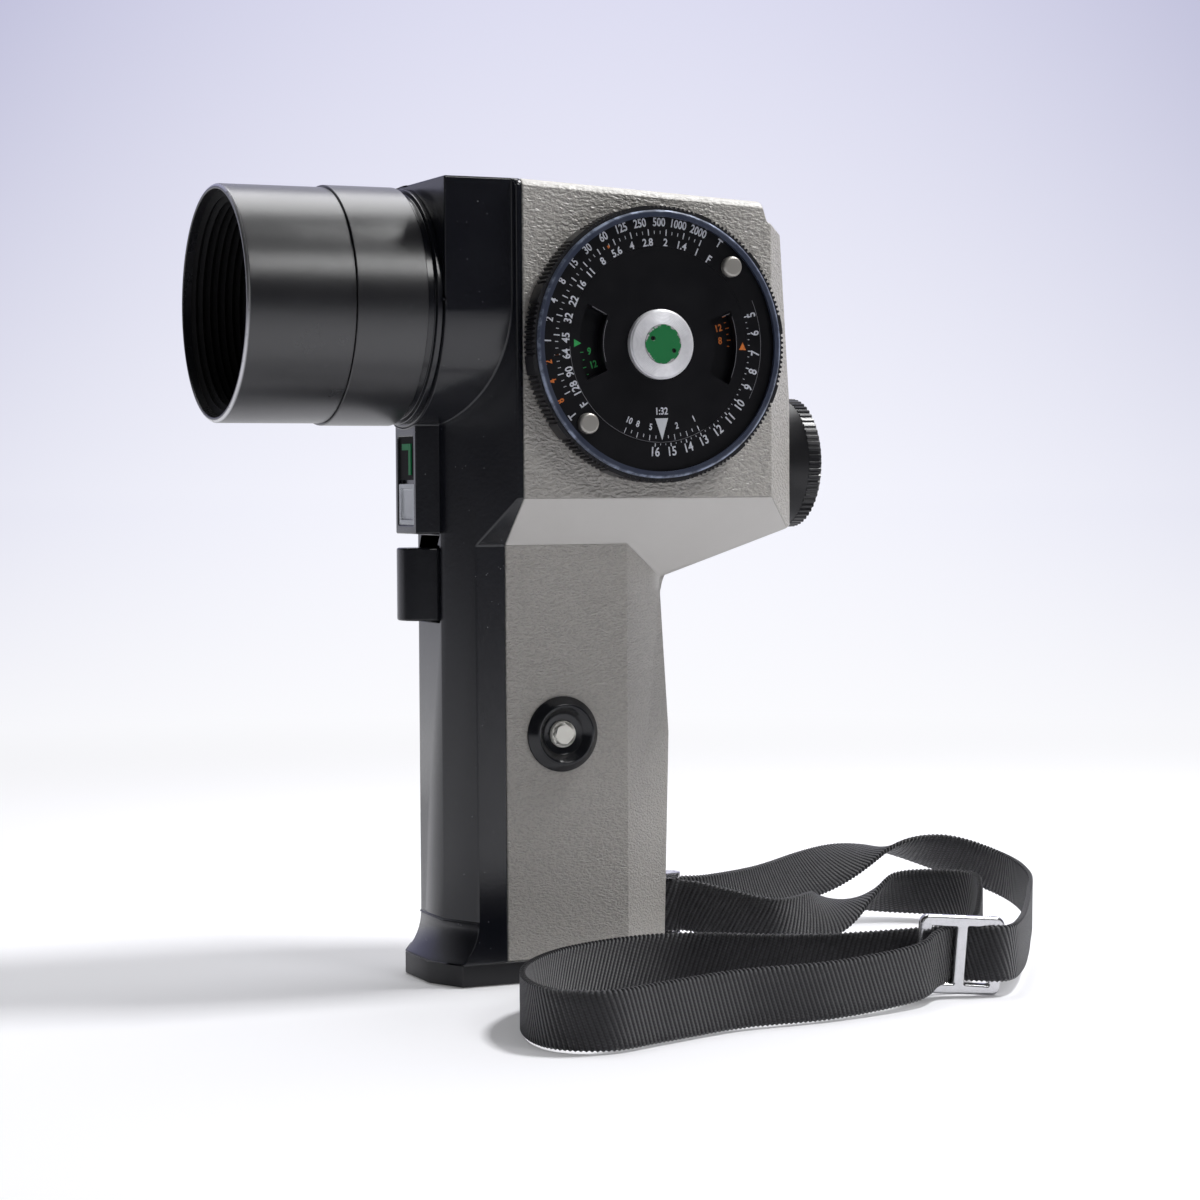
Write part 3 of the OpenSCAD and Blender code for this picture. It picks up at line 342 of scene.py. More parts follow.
def barrelBlack():
    look = {"colour": (0.009, 0.009, 0.0115), "roughness": 0.29, "bare": (0.66, 0.66, 0.68), "rim": -66.3 * mm}
    finish = Finish("barrelBlack", look["colour"], look["roughness"], Specular_IOR_Level=1.0)
    # fine turning marks round the tube, and a rim worn to bare metal
    turning = finish.noise(0.3 * mm, 2.0, 0.5, finish.mapped(scale=(6, 0.4, 0.4)))
    grit = finish.noise(0.2 * mm, 2.0, 0.6)
    edge = 1 - finish.ramp(finish.axis("X"), look["rim"] + 0.25 * mm, look["rim"] + 0.75 * mm)
    outer = finish.ramp(radiusAround(finish, "Y", "Z", 0.0, lensHeight), 25.2 * mm, 25.5 * mm)
    worn = edge * outer * finish.ramp(finish.noise(2.5 * mm, 5.0, 0.7), 0.26, 0.42)
    wearAndPaintedHighlight = finish.ramp(finish.noise(9 * mm, 5.0, 0.7), 0.62, 0.8) * 0.03
    return finish.feed(
        Base_Color=finish.mixed(finish.clamped(worn + wearAndPaintedHighlight), look["colour"], look["bare"]),
        Roughness=smudged(finish, look["roughness"], 0.12),
        Metallic=worn,
        Normal=finish.bump(turning + grit * 0.9, 0.008 * mm),
    )


def turnedHub():
    look = {"colour": (0.93, 0.93, 0.96), "roughness": 0.38}
    finish = Finish("turnedHub", look["colour"], look["roughness"], Metallic=0.35)
    radius = radiusAround(finish, "X", "Z", *dialCentre)
    rings = finish.maths("SINE", radius * (2 * math.pi / (0.3 * mm)))
    wobble = finish.noise(0.8 * mm, 2.0)
    return finish.feed(
        Base_Color=finish.mixed(finish.noise(2 * mm, 3.0), look["colour"], (0.66, 0.66, 0.69)),
        Roughness=look["roughness"] + rings * 0.05 + (wobble - 0.5) * 0.1,
        Normal=finish.bump(rings, 0.02 * mm),
    )


def chippedGreen():
    look = {
        "colour": (0.004, 0.17, 0.045),
        "bare": (0.42, 0.40, 0.42),
        # painted shade: near-black for the inside of the two holes
        "hole": (0.004, 0.004, 0.005),
        "roughness": 0.42,
        "holeRadius": 0.55 * mm,
        "holes": ((-2.4 * mm, 1.2 * mm), (2.6 * mm, -1.4 * mm)),
    }
    finish = Finish("chippedGreen", look["colour"], look["roughness"])
    x, z = dialCentre
    radius = radiusAround(finish, "X", "Z", x, z)
    patch = finish.noise(1.3 * mm, 5.0, 0.65) + finish.ramp(radius, 3.4 * mm, 4.4 * mm) * 0.2
    chip = finish.ramp(patch, 0.68, 0.7) * (1 - finish.ramp(radius, 5 * mm, 6 * mm))
    # painted shade: two small holes are coloured near-black for the shade inside them and sunk a little by the bump
    hole = 0.0
    for right, up in look["holes"]:
        near = radiusAround(finish, "X", "Z", x + right, z + up)
        hole = (1 - finish.ramp(near, look["holeRadius"] * 0.8, look["holeRadius"])) + hole
    hole = finish.clamped(hole)
    colour = finish.mixed(chip, look["colour"], look["bare"])
    return finish.feed(
        Base_Color=finish.mixed(hole, colour, look["hole"]),
        Roughness=look["roughness"] + hole * 0.3,
        Normal=finish.bump(1 - finish.clamped(chip * 0.3 + hole), 0.1 * mm),
    )


def bezelEdge():
    look = {"colour": (0.03, 0.038, 0.066), "worn": (0.26, 0.30, 0.40), "roughness": 0.28}
    finish = Finish("bezelEdge", look["colour"], look["roughness"])
    wear = finish.ramp(finish.noise(4 * mm, 5.0, 0.7), 0.42, 0.62)
    radius = radiusAround(finish, "X", "Z", *dialCentre)
    lip = finish.ramp(radius, 28.6 * mm, 29.2 * mm)
    bare = finish.clamped(wear * lip + lip * 0.18)
    return finish.feed(
        Base_Color=finish.mixed(bare, look["colour"], look["worn"]),
        Roughness=look["roughness"] + wear * 0.15,
        Metallic=bare * 0.6,
        Normal=finish.bump(finish.noise(0.4 * mm), 0.01 * mm),
    )


def webbingCloth():
    # painted light: the high colour is a painted sheen on the rib crests
    look = {"colour": (0.016, 0.016, 0.018), "high": (0.05, 0.05, 0.056), "pitch": 1.1, "slant": 0.34, "roughness": 0.6}
    finish = Finish("ribbedWebbing", look["colour"], look["roughness"], Sheen_Weight=0.25, Sheen_Roughness=0.4)
    lie = finish.node("UVMap", {}, uv_map="weave")
    across, along = finish.axis("X", lie), finish.axis("Y", lie)
    step = along / look["pitch"] + across * look["slant"] / look["pitch"]
    rib = finish.maths("SINE", step * (2 * math.pi)) * 0.5 + 0.5
    picks = finish.maths("SINE", across * (2 * math.pi / 0.62) + finish.maths("FLOOR", step) * math.pi) * 0.5 + 0.5
    fibre = finish.node("TexNoise", {"Vector": finish.mapped(scale=(9, 2.2, 1), at=lie), "Scale": 1.0, "Detail": 3.0})
    selvedge = finish.ramp(finish.maths("ABSOLUTE", across), 5.1, 5.5)
    relief = rib ** 0.7 * (selvedge * 0.5 + 0.85) + picks * rib * 0.35 + fibre * 0.3
    # partly painted light: rib crests and the edge ribs are painted lighter as painted sheen and the grooves darker as
    # painted shade; the fibre and pick variation is the cloth's own tone
    tone = finish.clamped(rib * 0.6 + picks * 0.2 + fibre * 0.5 - 0.25 + selvedge * rib * 0.4)
    return finish.feed(
        Base_Color=finish.mixed(tone, look["colour"], look["high"]),
        Roughness=look["roughness"] + (fibre - 0.5) * 0.2,
        Normal=finish.bump(relief, 0.4 * mm),
    )


def opticGlass(name, tint, film):
    finish = Finish(name, tint, 0.03, Transmission_Weight=0.95, IOR=1.6, Thin_Film_Thickness=film, Thin_Film_IOR=1.9)
    haze = finish.noise(6 * mm, 4.0, 0.6)
    return finish.feed(Roughness=0.02 + haze * 0.04)


def printInk(name, colour):
    finish = Finish(name, colour, 0.55)
    wearAndPaintedHighlight = finish.ramp(finish.noise(0.5 * mm, 4.0, 0.7), 0.25, 0.6)
    faded = tuple(part * 0.55 for part in colour)
    return finish.feed(Base_Color=finish.mixed(wearAndPaintedHighlight, faded, colour), Normal=finish.bump(wearAndPaintedHighlight, 0.01 * mm))


finishes = {
    "black_paint": paintedBlack(),
    "grey_crinkle": leatherSkin(),
    "black_plastic": mouldedPlastic("blackPlastic", (0.008, 0.008, 0.01), 0.34, 0.3 * mm, 0.012 * mm),
    "steel": machinedMetal("plainSteel", (0.5, 0.5, 0.51), 0.32),
    "brass": machinedMetal("turnedBrass", (0.6, 0.45, 0.2), 0.3, (1, 1, 6)),
    "inner_plastic": mouldedPlastic("innerPlastic", (0.09, 0.09, 0.095), 0.5),
    "cell_case": mouldedPlastic("cellWrapper", (0.45, 0.33, 0.1), 0.3, Metallic=0.4),
    "bright_metal": machinedMetal("brightMetal", (0.74, 0.74, 0.76), 0.2, (1, 1, 1), 0.5 * mm),
    "barrel_black": barrelBlack(),
    "matt_black": mouldedPlastic("mattBlack", (0.004, 0.004, 0.0045), 0.75, 0.2 * mm, 0.02 * mm, Specular_IOR_Level=0.2),
    "coated_glass": opticGlass("coatedGlass", (0.75, 0.8, 0.95), 360.0),
    "gloss_black": mouldedPlastic("glossBlack", (0.006, 0.0065, 0.009), 0.16, 0.8 * mm, 0.006 * mm),
    "green_paint": chippedGreen(),
    "pale_metal": mouldedPlastic("paleTile", (0.5, 0.52, 0.55), 0.35, 0.3 * mm, 0.01 * mm),
    "white_plastic": mouldedPlastic("whiteButton", (0.86, 0.82, 0.74), 0.3, 0.5 * mm, 0.008 * mm),
    "dial_black": mouldedPlastic("dialBlack", (0.0028, 0.0028, 0.0042), 0.34, 0.5 * mm, 0.006 * mm, Specular_IOR_Level=0.22),
    "brushed_metal": turnedHub(),
    "clear_glass": opticGlass("clearGlass", (0.9, 0.94, 0.96), 0.0),
    "cast_metal": machinedMetal("castChassis", (0.3, 0.3, 0.31), 0.5, (1, 1, 1), 0.6 * mm),
    "mirror_glass": machinedMetal("frontMirror", (0.85, 0.87, 0.9), 0.06, (1, 1, 1), 3 * mm),
    "needle_red": printInk("needleRed", (0.6, 0.07, 0.03)),
    "board_green": mouldedPlastic("boardGreen", (0.015, 0.12, 0.04), 0.35, 1.2 * mm, 0.03 * mm),
    "webbing": webbingCloth(),
    "ink_white": printInk("inkWhite", (0.62, 0.64, 0.70)),
    "ink_orange": printInk("inkOrange", (0.66, 0.17, 0.02)),
    "ink_green": printInk("inkGreen", (0.02, 0.36, 0.08)),
    # painted highlights along the edges of the dial's windows and slot
    "edge_highlight": printInk("edgeHighlight", (0.2, 0.2, 0.22)),
    "pin_metal": mouldedPlastic("pinMetal", (0.36, 0.345, 0.32), 0.4, 0.3 * mm, 0.004 * mm, Metallic=0.7),
    "inlay_green": mouldedPlastic("inlayGreen", (0.004, 0.19, 0.06), 0.5, 0.4 * mm, 0.006 * mm, Specular_IOR_Level=0.2),
    "bezel_edge": bezelEdge(),
}
ownFinish = {
    "dial_bezel": "bezel_edge",
    "speed_disc": "dial_black",
    "finger_pin_a": "pin_metal",
    "finger_pin_b": "pin_metal",
    "dial_plate": "dial_black",
    "name_panel": "matt_black",
    "panel_inlay": "inlay_green",
}
for name, node in nodes.items():
    node.data.materials.clear()
    node.data.materials.append(finishes[ownFinish.get(name, slotOf[name])])
print("materials made:", len(finishes))


def addPiece(bm, name, slotName, body, look=None, smooth=40):
    mesh = bpy.data.meshes.new(name)
    bm.to_mesh(mesh)
    bm.free()
    mesh.shade_smooth()
    if smooth:
        mesh.set_sharp_from_angle(angle=math.radians(smooth))
    mesh.materials.append(finishes[look or slotName])
    piece = bpy.data.objects.new(name, mesh)
    bpy.context.scene.collection.objects.link(piece)
    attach(piece, body)
    return piece


def settle(piece):
    # works the modifiers into the mesh
    graph = bpy.context.evaluated_depsgraph_get()
    made = bpy.data.meshes.new_from_object(piece.evaluated_get(graph), depsgraph=graph)
    piece.modifiers.clear()
    piece.data = made


neckCorner = {"x": (34, 43.5), "y": 9.5, "z": (87.5, 94)}  # mm, its slivers take no easing


def inNeck(edge):
    return all(
        neckCorner["x"][0] < vert.co.x / mm < neckCorner["x"][1] and abs(vert.co.y) / mm < neckCorner["y"]
        and neckCorner["z"][0] < vert.co.z / mm < neckCorner["z"][1]
        for vert in edge.verts
    )


def softenNode(nodeName, newName, width, segments=2, angle=32, look=None, shape=None, swell=0.0):
    # a copy of a node whose edges are eased so that they catch the light
    bm = bmesh.new()
    bm.from_mesh(nodes[nodeName].data)
    bmesh.ops.remove_doubles(bm, verts=bm.verts, dist=0.003 * mm)
    if shape:
        shape(bm)
    bmesh.ops.dissolve_limit(bm, angle_limit=math.radians(0.6), verts=bm.verts, edges=bm.edges)
    # a large face round an opening has to be cut up before its rim is eased
    bmesh.ops.triangulate(bm, faces=[face for face in bm.faces if len(face.verts) > 45])
    weights = bm.edges.layers.float.new("bevel_weight_edge")
    for edge in bm.edges:
        if edge.calc_face_angle(0) > math.radians(angle) and not inNeck(edge):
            edge[weights] = 1.0
    piece = addPiece(bm, newName, slotOf[nodeName], bodyOf[nodeName], look or ownFinish.get(nodeName), smooth=0)
    eased = piece.modifiers.new("easedEdges", "BEVEL")
    eased.width = width
    eased.segments = segments
    eased.limit_method = "WEIGHT"
    eased.use_clamp_overlap = False
    eased.miter_outer = "MITER_ARC"
    if swell:
        fuller = piece.modifiers.new("fullerBars", "DISPLACE")
        fuller.strength = swell
        fuller.mid_level = 0.0
    evened = piece.modifiers.new("evenedShading", "WEIGHTED_NORMAL")
    evened.weight = 100
    evened.keep_sharp = True
    settle(piece)
    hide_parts(nodeName)
    return piece


strapMake = {
    "width": 12.0,  # mm
    "thickness": 1.2,
    "pitch": 1.1,  # one rib
    "scallop": 0.34,  # how far a rib's end stands out
    "route": [
        (40.65, 0.15, 12.7, 0), (41.25, 1.45, 12.7, 0), (42.7, 2.06, 12.7, 0), (44.4, 2.35, 12.7, 0),
        (48, 3.1, 12.6, 0), (56, 5.5, 12.2, 0), (75, 16, 12, 8), (95, 26, 14, 30), (115, 30, 18, 90),
        (130, 22, 17, 150), (138, 6, 13, 170), (132, -15, 11, 180), (118, -37, 9.5, 180), (104, -57.5, 9, 180),
        (95, -69.5, 9.2, 180), (89.6, -75.2, 9.2, 180), (85, -76.4, 9.2, 180), (77.7, -71.75, 9.2, 180),
        (71.2, -74.9, 9, 180),
        (62, -81, 7.4, 180), (40, -86, 6.4, 180), (18, -87, 6.4, 180), (-2, -93, 6.4, 180),
        (-16, -97, 6.4, 180), (-25, -90, 6.4, 180), (-25, -76, 6.4, 180), (-18, -60, 6.4, 180),
        (-4, -46, 6.4, 180), (14, -38.5, 6.4, 180), (30, -39, 6.4, 180), (44, -50, 6.6, 180),
        (57, -61, 7.6, 180), (80, -69.2, 9.2, 180), (89, -61, 9.6, 180), (98, -48, 10.5, 180),
        (108, -32, 11.5, 180), (115, -17, 12, 180), (111, -6, 12, 195), (100, -2, 12, 215),
        (87, -6, 11, 270), (74, -14, 9.5, 340), (62, -17, 9, 360), (53.5, -10.5, 10.8, 360),
        (48.2, -5.4, 12.2, 360), (45.6, -3.2, 12.6, 360), (44, -2.35, 12.7, 360), (42.7, -2.06, 12.7, 360),
        (41.25, -1.45, 12.7, 360), (40.65, -0.15, 12.7, 360),
    ],
}


def smoothRoute(route, steps):
    # Catmull-Rom curve through the route's points, with the roll carried along
    points = [Vector(point) for point in route]
    last = len(points) - 1
    path = []
    for i in range(last):
        a, b, c, d = points[max(i - 1, 0)], points[i], points[i + 1], points[min(i + 2, last)]
        for k in range(steps):
            t = k / steps
            path.append(0.5 * (2 * b + (c - a) * t + (2 * a - 5 * b + 4 * c - d) * t * t + (3 * b - a - 3 * c + d) * t ** 3))
    return path + [points[last]]


def evenSteps(path, step):
    # the same curve with its points a fixed distance apart
    lengths = [0.0]
    for a, b in zip(path, path[1:]):
        lengths.append(lengths[-1] + (b.xyz - a.xyz).length)
    count = round(lengths[-1] / step)
    spaced, i = [], 0
    for k in range(count + 1):
        along = lengths[-1] * k / count
        while i < len(path) - 2 and lengths[i + 1] < along:
            i += 1
        part = (along - lengths[i]) / max(lengths[i + 1] - lengths[i], 1e-9)
        spaced.append(path[i].lerp(path[i + 1], min(max(part, 0.0), 1.0)))
    return spaced, lengths[-1]


def buildStrap():
    make = strapMake
    path, length = evenSteps(smoothRoute(make["route"], 24), make["pitch"] / 4)
    bm = bmesh.new()
    uvLayer = bm.loops.layers.uv.new("weave")
    acrossLayer = bm.verts.layers.float.new("across")
    alongLayer = bm.verts.layers.float.new("along")
    halfWidth, halfThick = make["width"] / 2, make["thickness"] / 2
    outline = [(-1, 0), (-0.985, 0.6), (-0.94, 1), (-0.45, 1), (0, 1), (0.45, 1), (0.94, 1), (0.985, 0.6)]
    outline += [(-a, -b) for a, b in outline]
    ring = [bm.verts.new((a * halfWidth * mm, b * halfThick * mm, 0)) for a, b in outline]
    edges = [bm.edges.new((ring[i], ring[(i + 1) % len(ring)])) for i in range(len(ring))]
    before = Matrix.Identity(4)
    for k, point in enumerate(path):
        ahead = (path[min(k + 1, len(path) - 1)].xyz - path[max(k - 1, 0)].xyz).normalized()
        side = Vector((0, 0, 1)).cross(ahead).normalized()
        rise = ahead.cross(side)
        roll = math.radians(point[3])
        wide = rise * math.cos(roll) + side * math.sin(roll)
        thick = side * math.cos(roll) - rise * math.sin(roll)
        stretch = 1 + make["scallop"] / halfWidth * 0.5 * math.cos(k * math.pi / 2)
        here = Matrix((wide * stretch, thick, ahead)).transposed().to_4x4()
        here.translation = point.xyz * mm
        if k:
            made = bmesh.ops.extrude_edge_only(bm, edges=edges)["geom"]
            edges = [part for part in made if isinstance(part, bmesh.types.BMEdge) and all(v in made for v in part.verts)]
            ring = [part for part in made if isinstance(part, bmesh.types.BMVert)]
        bmesh.ops.transform(bm, matrix=here @ before.inverted(), verts=ring)
        for vert in ring:
            vert[acrossLayer] = (vert.co - here.translation).dot(wide) / mm
            vert[alongLayer] = length * k / (len(path) - 1)
        before = here
    bmesh.ops.holes_fill(bm, edges=[edge for edge in bm.edges if edge.is_boundary], sides=0)
    bmesh.ops.recalc_face_normals(bm, faces=bm.faces)
    for face in bm.faces:
        for loop in face.loops:
            loop[uvLayer].uv = (loop.vert[acrossLayer], loop.vert[alongLayer])
    strap = addPiece(bm, "wristStrap", "webbing", "case", smooth=60)
    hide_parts("strap")
    slider = softenNode("strap_slider", "strapSlider", 0.4 * mm, 3, swell=0.36 * mm)
    length * mm
    print("strap made, length", round(length), "mm")


buildStrap()


lensBoss = {
    "side": 27.1 * mm,  # half its width
    "roof": 178.0 * mm,
    "round": 1.3 * mm,  # of its long top edges
}


def shapeBoss(bm):
    # flattens the boss's side walls and rounds their top edges
    side, roof = lensBoss["side"], lensBoss["roof"]
    for vert in bm.verts:
        if vert.co.z > lensHeight - 0.5 * mm and abs(abs(vert.co.y) - side) < 0.06 * mm:
            vert.co.y = math.copysign(side, vert.co.y)
    bmesh.ops.remove_doubles(bm, verts=bm.verts, dist=0.04 * mm)
    bmesh.ops.dissolve_degenerate(bm, dist=0.04 * mm, edges=bm.edges)
    bmesh.ops.dissolve_limit(bm, angle_limit=math.radians(0.6), verts=bm.verts, edges=bm.edges)
    tops = [
        edge for edge in bm.edges
        if all(abs(abs(v.co.y) - side) < 0.01 * mm and abs(v.co.z - roof) < 0.02 * mm for v in edge.verts)
    ]
    bmesh.ops.bevel(
        bm, geom=tops, offset=lensBoss["round"], segments=5, profile=0.5, affect="EDGES", material=-1,
        clamp_overlap=True,
    )


easing = {
    "front_housing": ("frontHousing", 0.35, 2),
    "rear_shell": ("rearShell", 0.4, 2),
    "base_plate": ("basePlate", 0.3, 2),
    "mount_ring": ("mountRing", 0.2, 2),
    "barrel_rear": ("barrelRear", 0.25, 2),
    "barrel_front": ("barrelFront", 0.2, 2),
    "trigger": ("triggerBlade", 0.5, 3),
    "index_tile": ("blockTile", 0.15, 2),
    "check_ring": ("checkRing", 0.2, 2),
    "check_button": ("checkButton", 0.35, 3),
    "eye_flange": ("eyeFlange", 0.2, 2),
    "battery_cap": ("batteryCap", 0.2, 2),
    "strap_lug": ("strapLug", 0.25, 2),
    "strap_pin": ("strapPin", 0.2, 2),
    "finger_pin_a": ("fingerPinA", 0.25, 3),
    "finger_pin_b": ("fingerPinB", 0.25, 3),
}
for nodeName, (newName, width, segments) in easing.items():
    softenNode(nodeName, newName, width * mm, segments, shape=shapeBoss if nodeName == "front_housing" else None)
print("housings eased")


dialFace = {
    "side": -28.3,  # mm, the head's side on Y
    "ringTop": 5.8,
    "discTop": 5.8,
    "speedTop": 3.1,
    "ink": 0.05,  # thickness of the print
    "bold": 0.05,  # how far the strokes are fattened
}
timeMarks = [
    ("2000", 69), ("1000", 80), ("500", 90), ("250", 100), ("125", 110), ("60", 120), ("30", 130), ("15", 140),
    ("8", 150), ("4", 160), ("2", 169), ("1", 179),
]
slowMarks = [("2", 189), ("4", 198), ("8", 208)]
stopMarks = [
    ("1", 66), ("1.4", 76), ("2", 86), ("2.8", 97), ("4", 107), ("5.6", 117), ("8", 127), ("11", 137), ("16", 146),
    ("22", 156), ("32", 166), ("45", 177), ("64", 186), ("90", 196), ("128", 206),
]
valueMarks = [
    ("5", 17), ("6", 7), ("7", -4), ("8", -14), ("9", -23), ("10", -34), ("11", -43), ("12", -53), ("13", -63),
    ("14", -73), ("15", -83), ("16", -93),
]
ratioMarks = [("10", -114), ("8", -107), ("5", -97), ("2", -77), ("1", -63)]


def dialPlace(angle, radius, top, inward=False, lean=0):
    # stands a flat mark on the dial, its top away from the centre unless inward, then leans it over
    turn = math.radians(angle)
    out = Vector((math.cos(turn), 0, math.sin(turn)))
    tilt = math.radians(lean) + (math.pi if inward else 0)
    up = Vector((math.cos(turn + tilt), 0, math.sin(turn + tilt)))
    normal = Vector((0, -1, 0))
    right = up.cross(normal)
    placed = Matrix((right, up, normal)).transposed().to_4x4()
    centre = Vector((dialCentre[0], (dialFace["side"] - top) * mm, dialCentre[1]))
    placed.translation = centre + out * radius * mm
    return placed


def addNumber(bm, words, height, placed, narrow=0.8):
    data = bpy.data.curves.new("number", "FONT")
    data.body = words
    data.size = height * mm / 0.69
    data.align_x = "CENTER"
    data.align_y = "CENTER"
    data.resolution_u = 3
    data.extrude = dialFace["ink"] / 2 * mm
    data.offset = dialFace["bold"] * mm
    holder = bpy.data.objects.new("number", data)
    bpy.context.scene.collection.objects.link(holder)
    bpy.context.view_layer.update()
    mesh = bpy.data.meshes.new_from_object(holder)
    mesh.transform(placed @ Matrix.Diagonal((narrow, 1, 1, 1)))
    bm.from_mesh(mesh)
    bpy.data.objects.remove(holder)
    bpy.data.curves.remove(data)
    bpy.data.meshes.remove(mesh)


def addTick(bm, angle, inner, outer, width, top):
    placed = dialPlace(angle, (inner + outer) / 2, top)
    size = Matrix.Diagonal((width * mm, (outer - inner) * mm, dialFace["ink"] * mm, 1))
    bmesh.ops.create_cube(bm, size=1, matrix=placed @ size)


def addArc(bm, start, end, radius, width, top):
    # a thin curved line round the dial
    height = (dialFace["side"] - top) * mm
    centre = Vector((dialCentre[0], height, dialCentre[1]))
    out = Vector((math.cos(math.radians(start)), 0, math.sin(math.radians(start))))
    corners = [
        bm.verts.new(centre + out * (radius + part * width / 2) * mm + Vector((0, depth * mm, 0)))
        for part, depth in ((-1, 0), (1, 0), (1, -dialFace["ink"]), (-1, -dialFace["ink"]))
    ]
    rim = [bm.edges.new((corners[i], corners[(i + 1) % 4])) for i in range(4)]
    made = bmesh.ops.spin(
        bm, geom=[*corners, *rim], cent=centre, axis=(0, -1, 0), angle=math.radians(end - start),
        steps=max(4, round(abs(end - start) / 3)), use_merge=False,
    )["geom_last"]
    bmesh.ops.holes_fill(bm, edges=rim + [part for part in made if isinstance(part, bmesh.types.BMEdge)], sides=0)


def addPointer(bm, angle, radius, width, length, top, inward=False, lean=0):
    # a thin triangle whose tip points the way its top does
    placed = dialPlace(angle, radius, top, inward, lean)
    half = Matrix.Diagonal((width / math.sqrt(3) * mm, length / 1.5 * mm, 1, 1))
    bmesh.ops.create_cone(
        bm, cap_ends=True, segments=3, radius1=1, radius2=1, depth=dialFace["ink"] * mm, matrix=placed @ half
    )


def addPrint(name, body, ink, fill):
    bm = bmesh.new()
    fill(bm)
    bmesh.ops.remove_doubles(bm, verts=bm.verts, dist=0.0005 * mm)
    return addPiece(bm, name, "dial_black", body, look=ink, smooth=30)


def ringNumbers(bm):
    top = dialFace["ringTop"]
    for words, angle in timeMarks:
        addNumber(bm, words, 1.8, dialPlace(angle, 26.7, top), 0.78)
    for words, angle in stopMarks:
        addNumber(bm, words, 1.75 if angle > 150 else 1.6, dialPlace(angle, 22.35, top), 0.9)
    for words, angle in valueMarks:
        addNumber(bm, words, 1.95, dialPlace(angle, 23.7, top, True), 0.85)
    for words, angle, radius in (("T", 57, 26.8), ("F", 57.5, 22.4), ("T", 217, 26.1), ("F", 216, 22.4)):
        addNumber(bm, words, 1.8, dialPlace(angle, radius, top), 0.85)


def ringTicks(bm):
    top = dialFace["ringTop"]
    for k in range(43):
        angle = 66 + k * 10.0 / 3
        if angle > 208:
            break
        whole = k % 3 == 0
        addTick(bm, angle, 23.9 if whole else 24.2, 25.3 if whole else 24.9, 0.24 if whole else 0.14, top)
    for k in range(34):
        angle = 17 - k * 10.0 / 3
        whole = k % 3 == 0
        addTick(bm, angle, 21.75, 22.5 if whole else 22.15, 0.22 if whole else 0.14, top)


def ringSlow(bm):
    for words, angle in slowMarks:
        addNumber(bm, words, 1.75, dialPlace(angle, 26.8, dialFace["ringTop"]), 0.72)
    addTick(bm, 120.0, 24.0, 24.6, 0.5, dialFace["ringTop"])
    addTick(bm, 186.0, 24.0, 25.2, 0.26, dialFace["ringTop"])


def discWhite(bm):
    top = dialFace["discTop"]
    for words, angle in ratioMarks:
        addNumber(bm, words, 1.35, dialPlace(angle, 18.3, top, True), 0.8)
    addNumber(bm, "1:32", 1.5, dialPlace(-88.5, 14.7, top, True), 0.85)
    for k in range(13):
        angle = -114 + k * 4.25
        if abs(angle + 88.5) > 4:
            addTick(bm, angle, 20.0, 21.2 if k % 2 == 0 else 20.7, 0.16, top)


def discPointer(bm):
    addPointer(bm, -88.5, 17.8, 3.1, 4.8, dialFace["discTop"])


def discOrange(bm):
    addPointer(bm, -1, 20.4, 1.7, 1.7, dialFace["discTop"], lean=90)


def discGreen(bm):
    addPointer(bm, 180, 19.9, 1.7, 1.7, dialFace["discTop"], True)


def windowEdgeHighlights(bm):
    # painted highlights: thin pale lines where the windows' edges catch the light
    top = dialFace["discTop"] + 0.02
    addArc(bm, 158, 197, 13.5, 0.1, top)
    addTick(bm, 153.5, 14.2, 18.0, 0.12, top)
    addArc(bm, 20, -22, 18.9, 0.09, top)
    addTick(bm, 22.5, 16.6, 18.6, 0.1, top)
    addArc(bm, -178, -60, 21.45, 0.07, top)


def slotEdgeHighlight(bm):
    # painted highlight: a thin pale line where the slot's edge catches the light
    addArc(bm, 24, -28, 24.9, 0.09, dialFace["ringTop"] + 0.02)


def speedGreen(bm):
    top = dialFace["speedTop"]
    addNumber(bm, "9", 1.5, dialPlace(-174, 15.8, top, lean=-90), 0.85)
    addNumber(bm, "12", 1.5, dialPlace(-163, 15.4, top, lean=-90), 0.85)
    for k in range(6):
        addTick(bm, -174 + k * 5.5, 17.2, 18.0 if k % 2 == 0 else 17.6, 0.2, top)


def speedOrange(bm):
    top = dialFace["speedTop"]
    addNumber(bm, "12", 1.5, dialPlace(14, 16.2, top, lean=90), 0.85)
    addNumber(bm, "8", 1.5, dialPlace(4, 16.2, top, lean=90), 0.85)
    addTick(bm, 24, 14.6, 16.2, 0.45, top)
    for k in range(6):
        addTick(bm, 21 - k * 4.2, 17.9, 18.8 if k % 2 == 0 else 18.4, 0.2, top)


addPrint("ringNumbers", "dial_scale", "ink_white", ringNumbers)
addPrint("ringTicks", "dial_scale", "ink_white", ringTicks)
addPrint("ringSlowMarks", "dial_scale", "ink_orange", ringSlow)
addPrint("discNumbers", "case", "ink_white", discWhite)
addPrint("discPointer", "case", "pale_metal", discPointer)
addPrint("discOrangeMark", "case", "ink_orange", discOrange)
addPrint("discGreenMark", "case", "ink_green", discGreen)
# painted highlights on the windows' edges
addPrint("windowHighlights", "case", "edge_highlight", windowEdgeHighlights)
# painted highlight on the slot's edge
addPrint("slotHighlight", "dial_scale", "edge_highlight", slotEdgeHighlight)
addPrint("speedGreenMarks", "dial_outer", "ink_green", speedGreen)
addPrint("speedOrangeMarks", "dial_outer", "ink_orange", speedOrange)
print("dial printed")


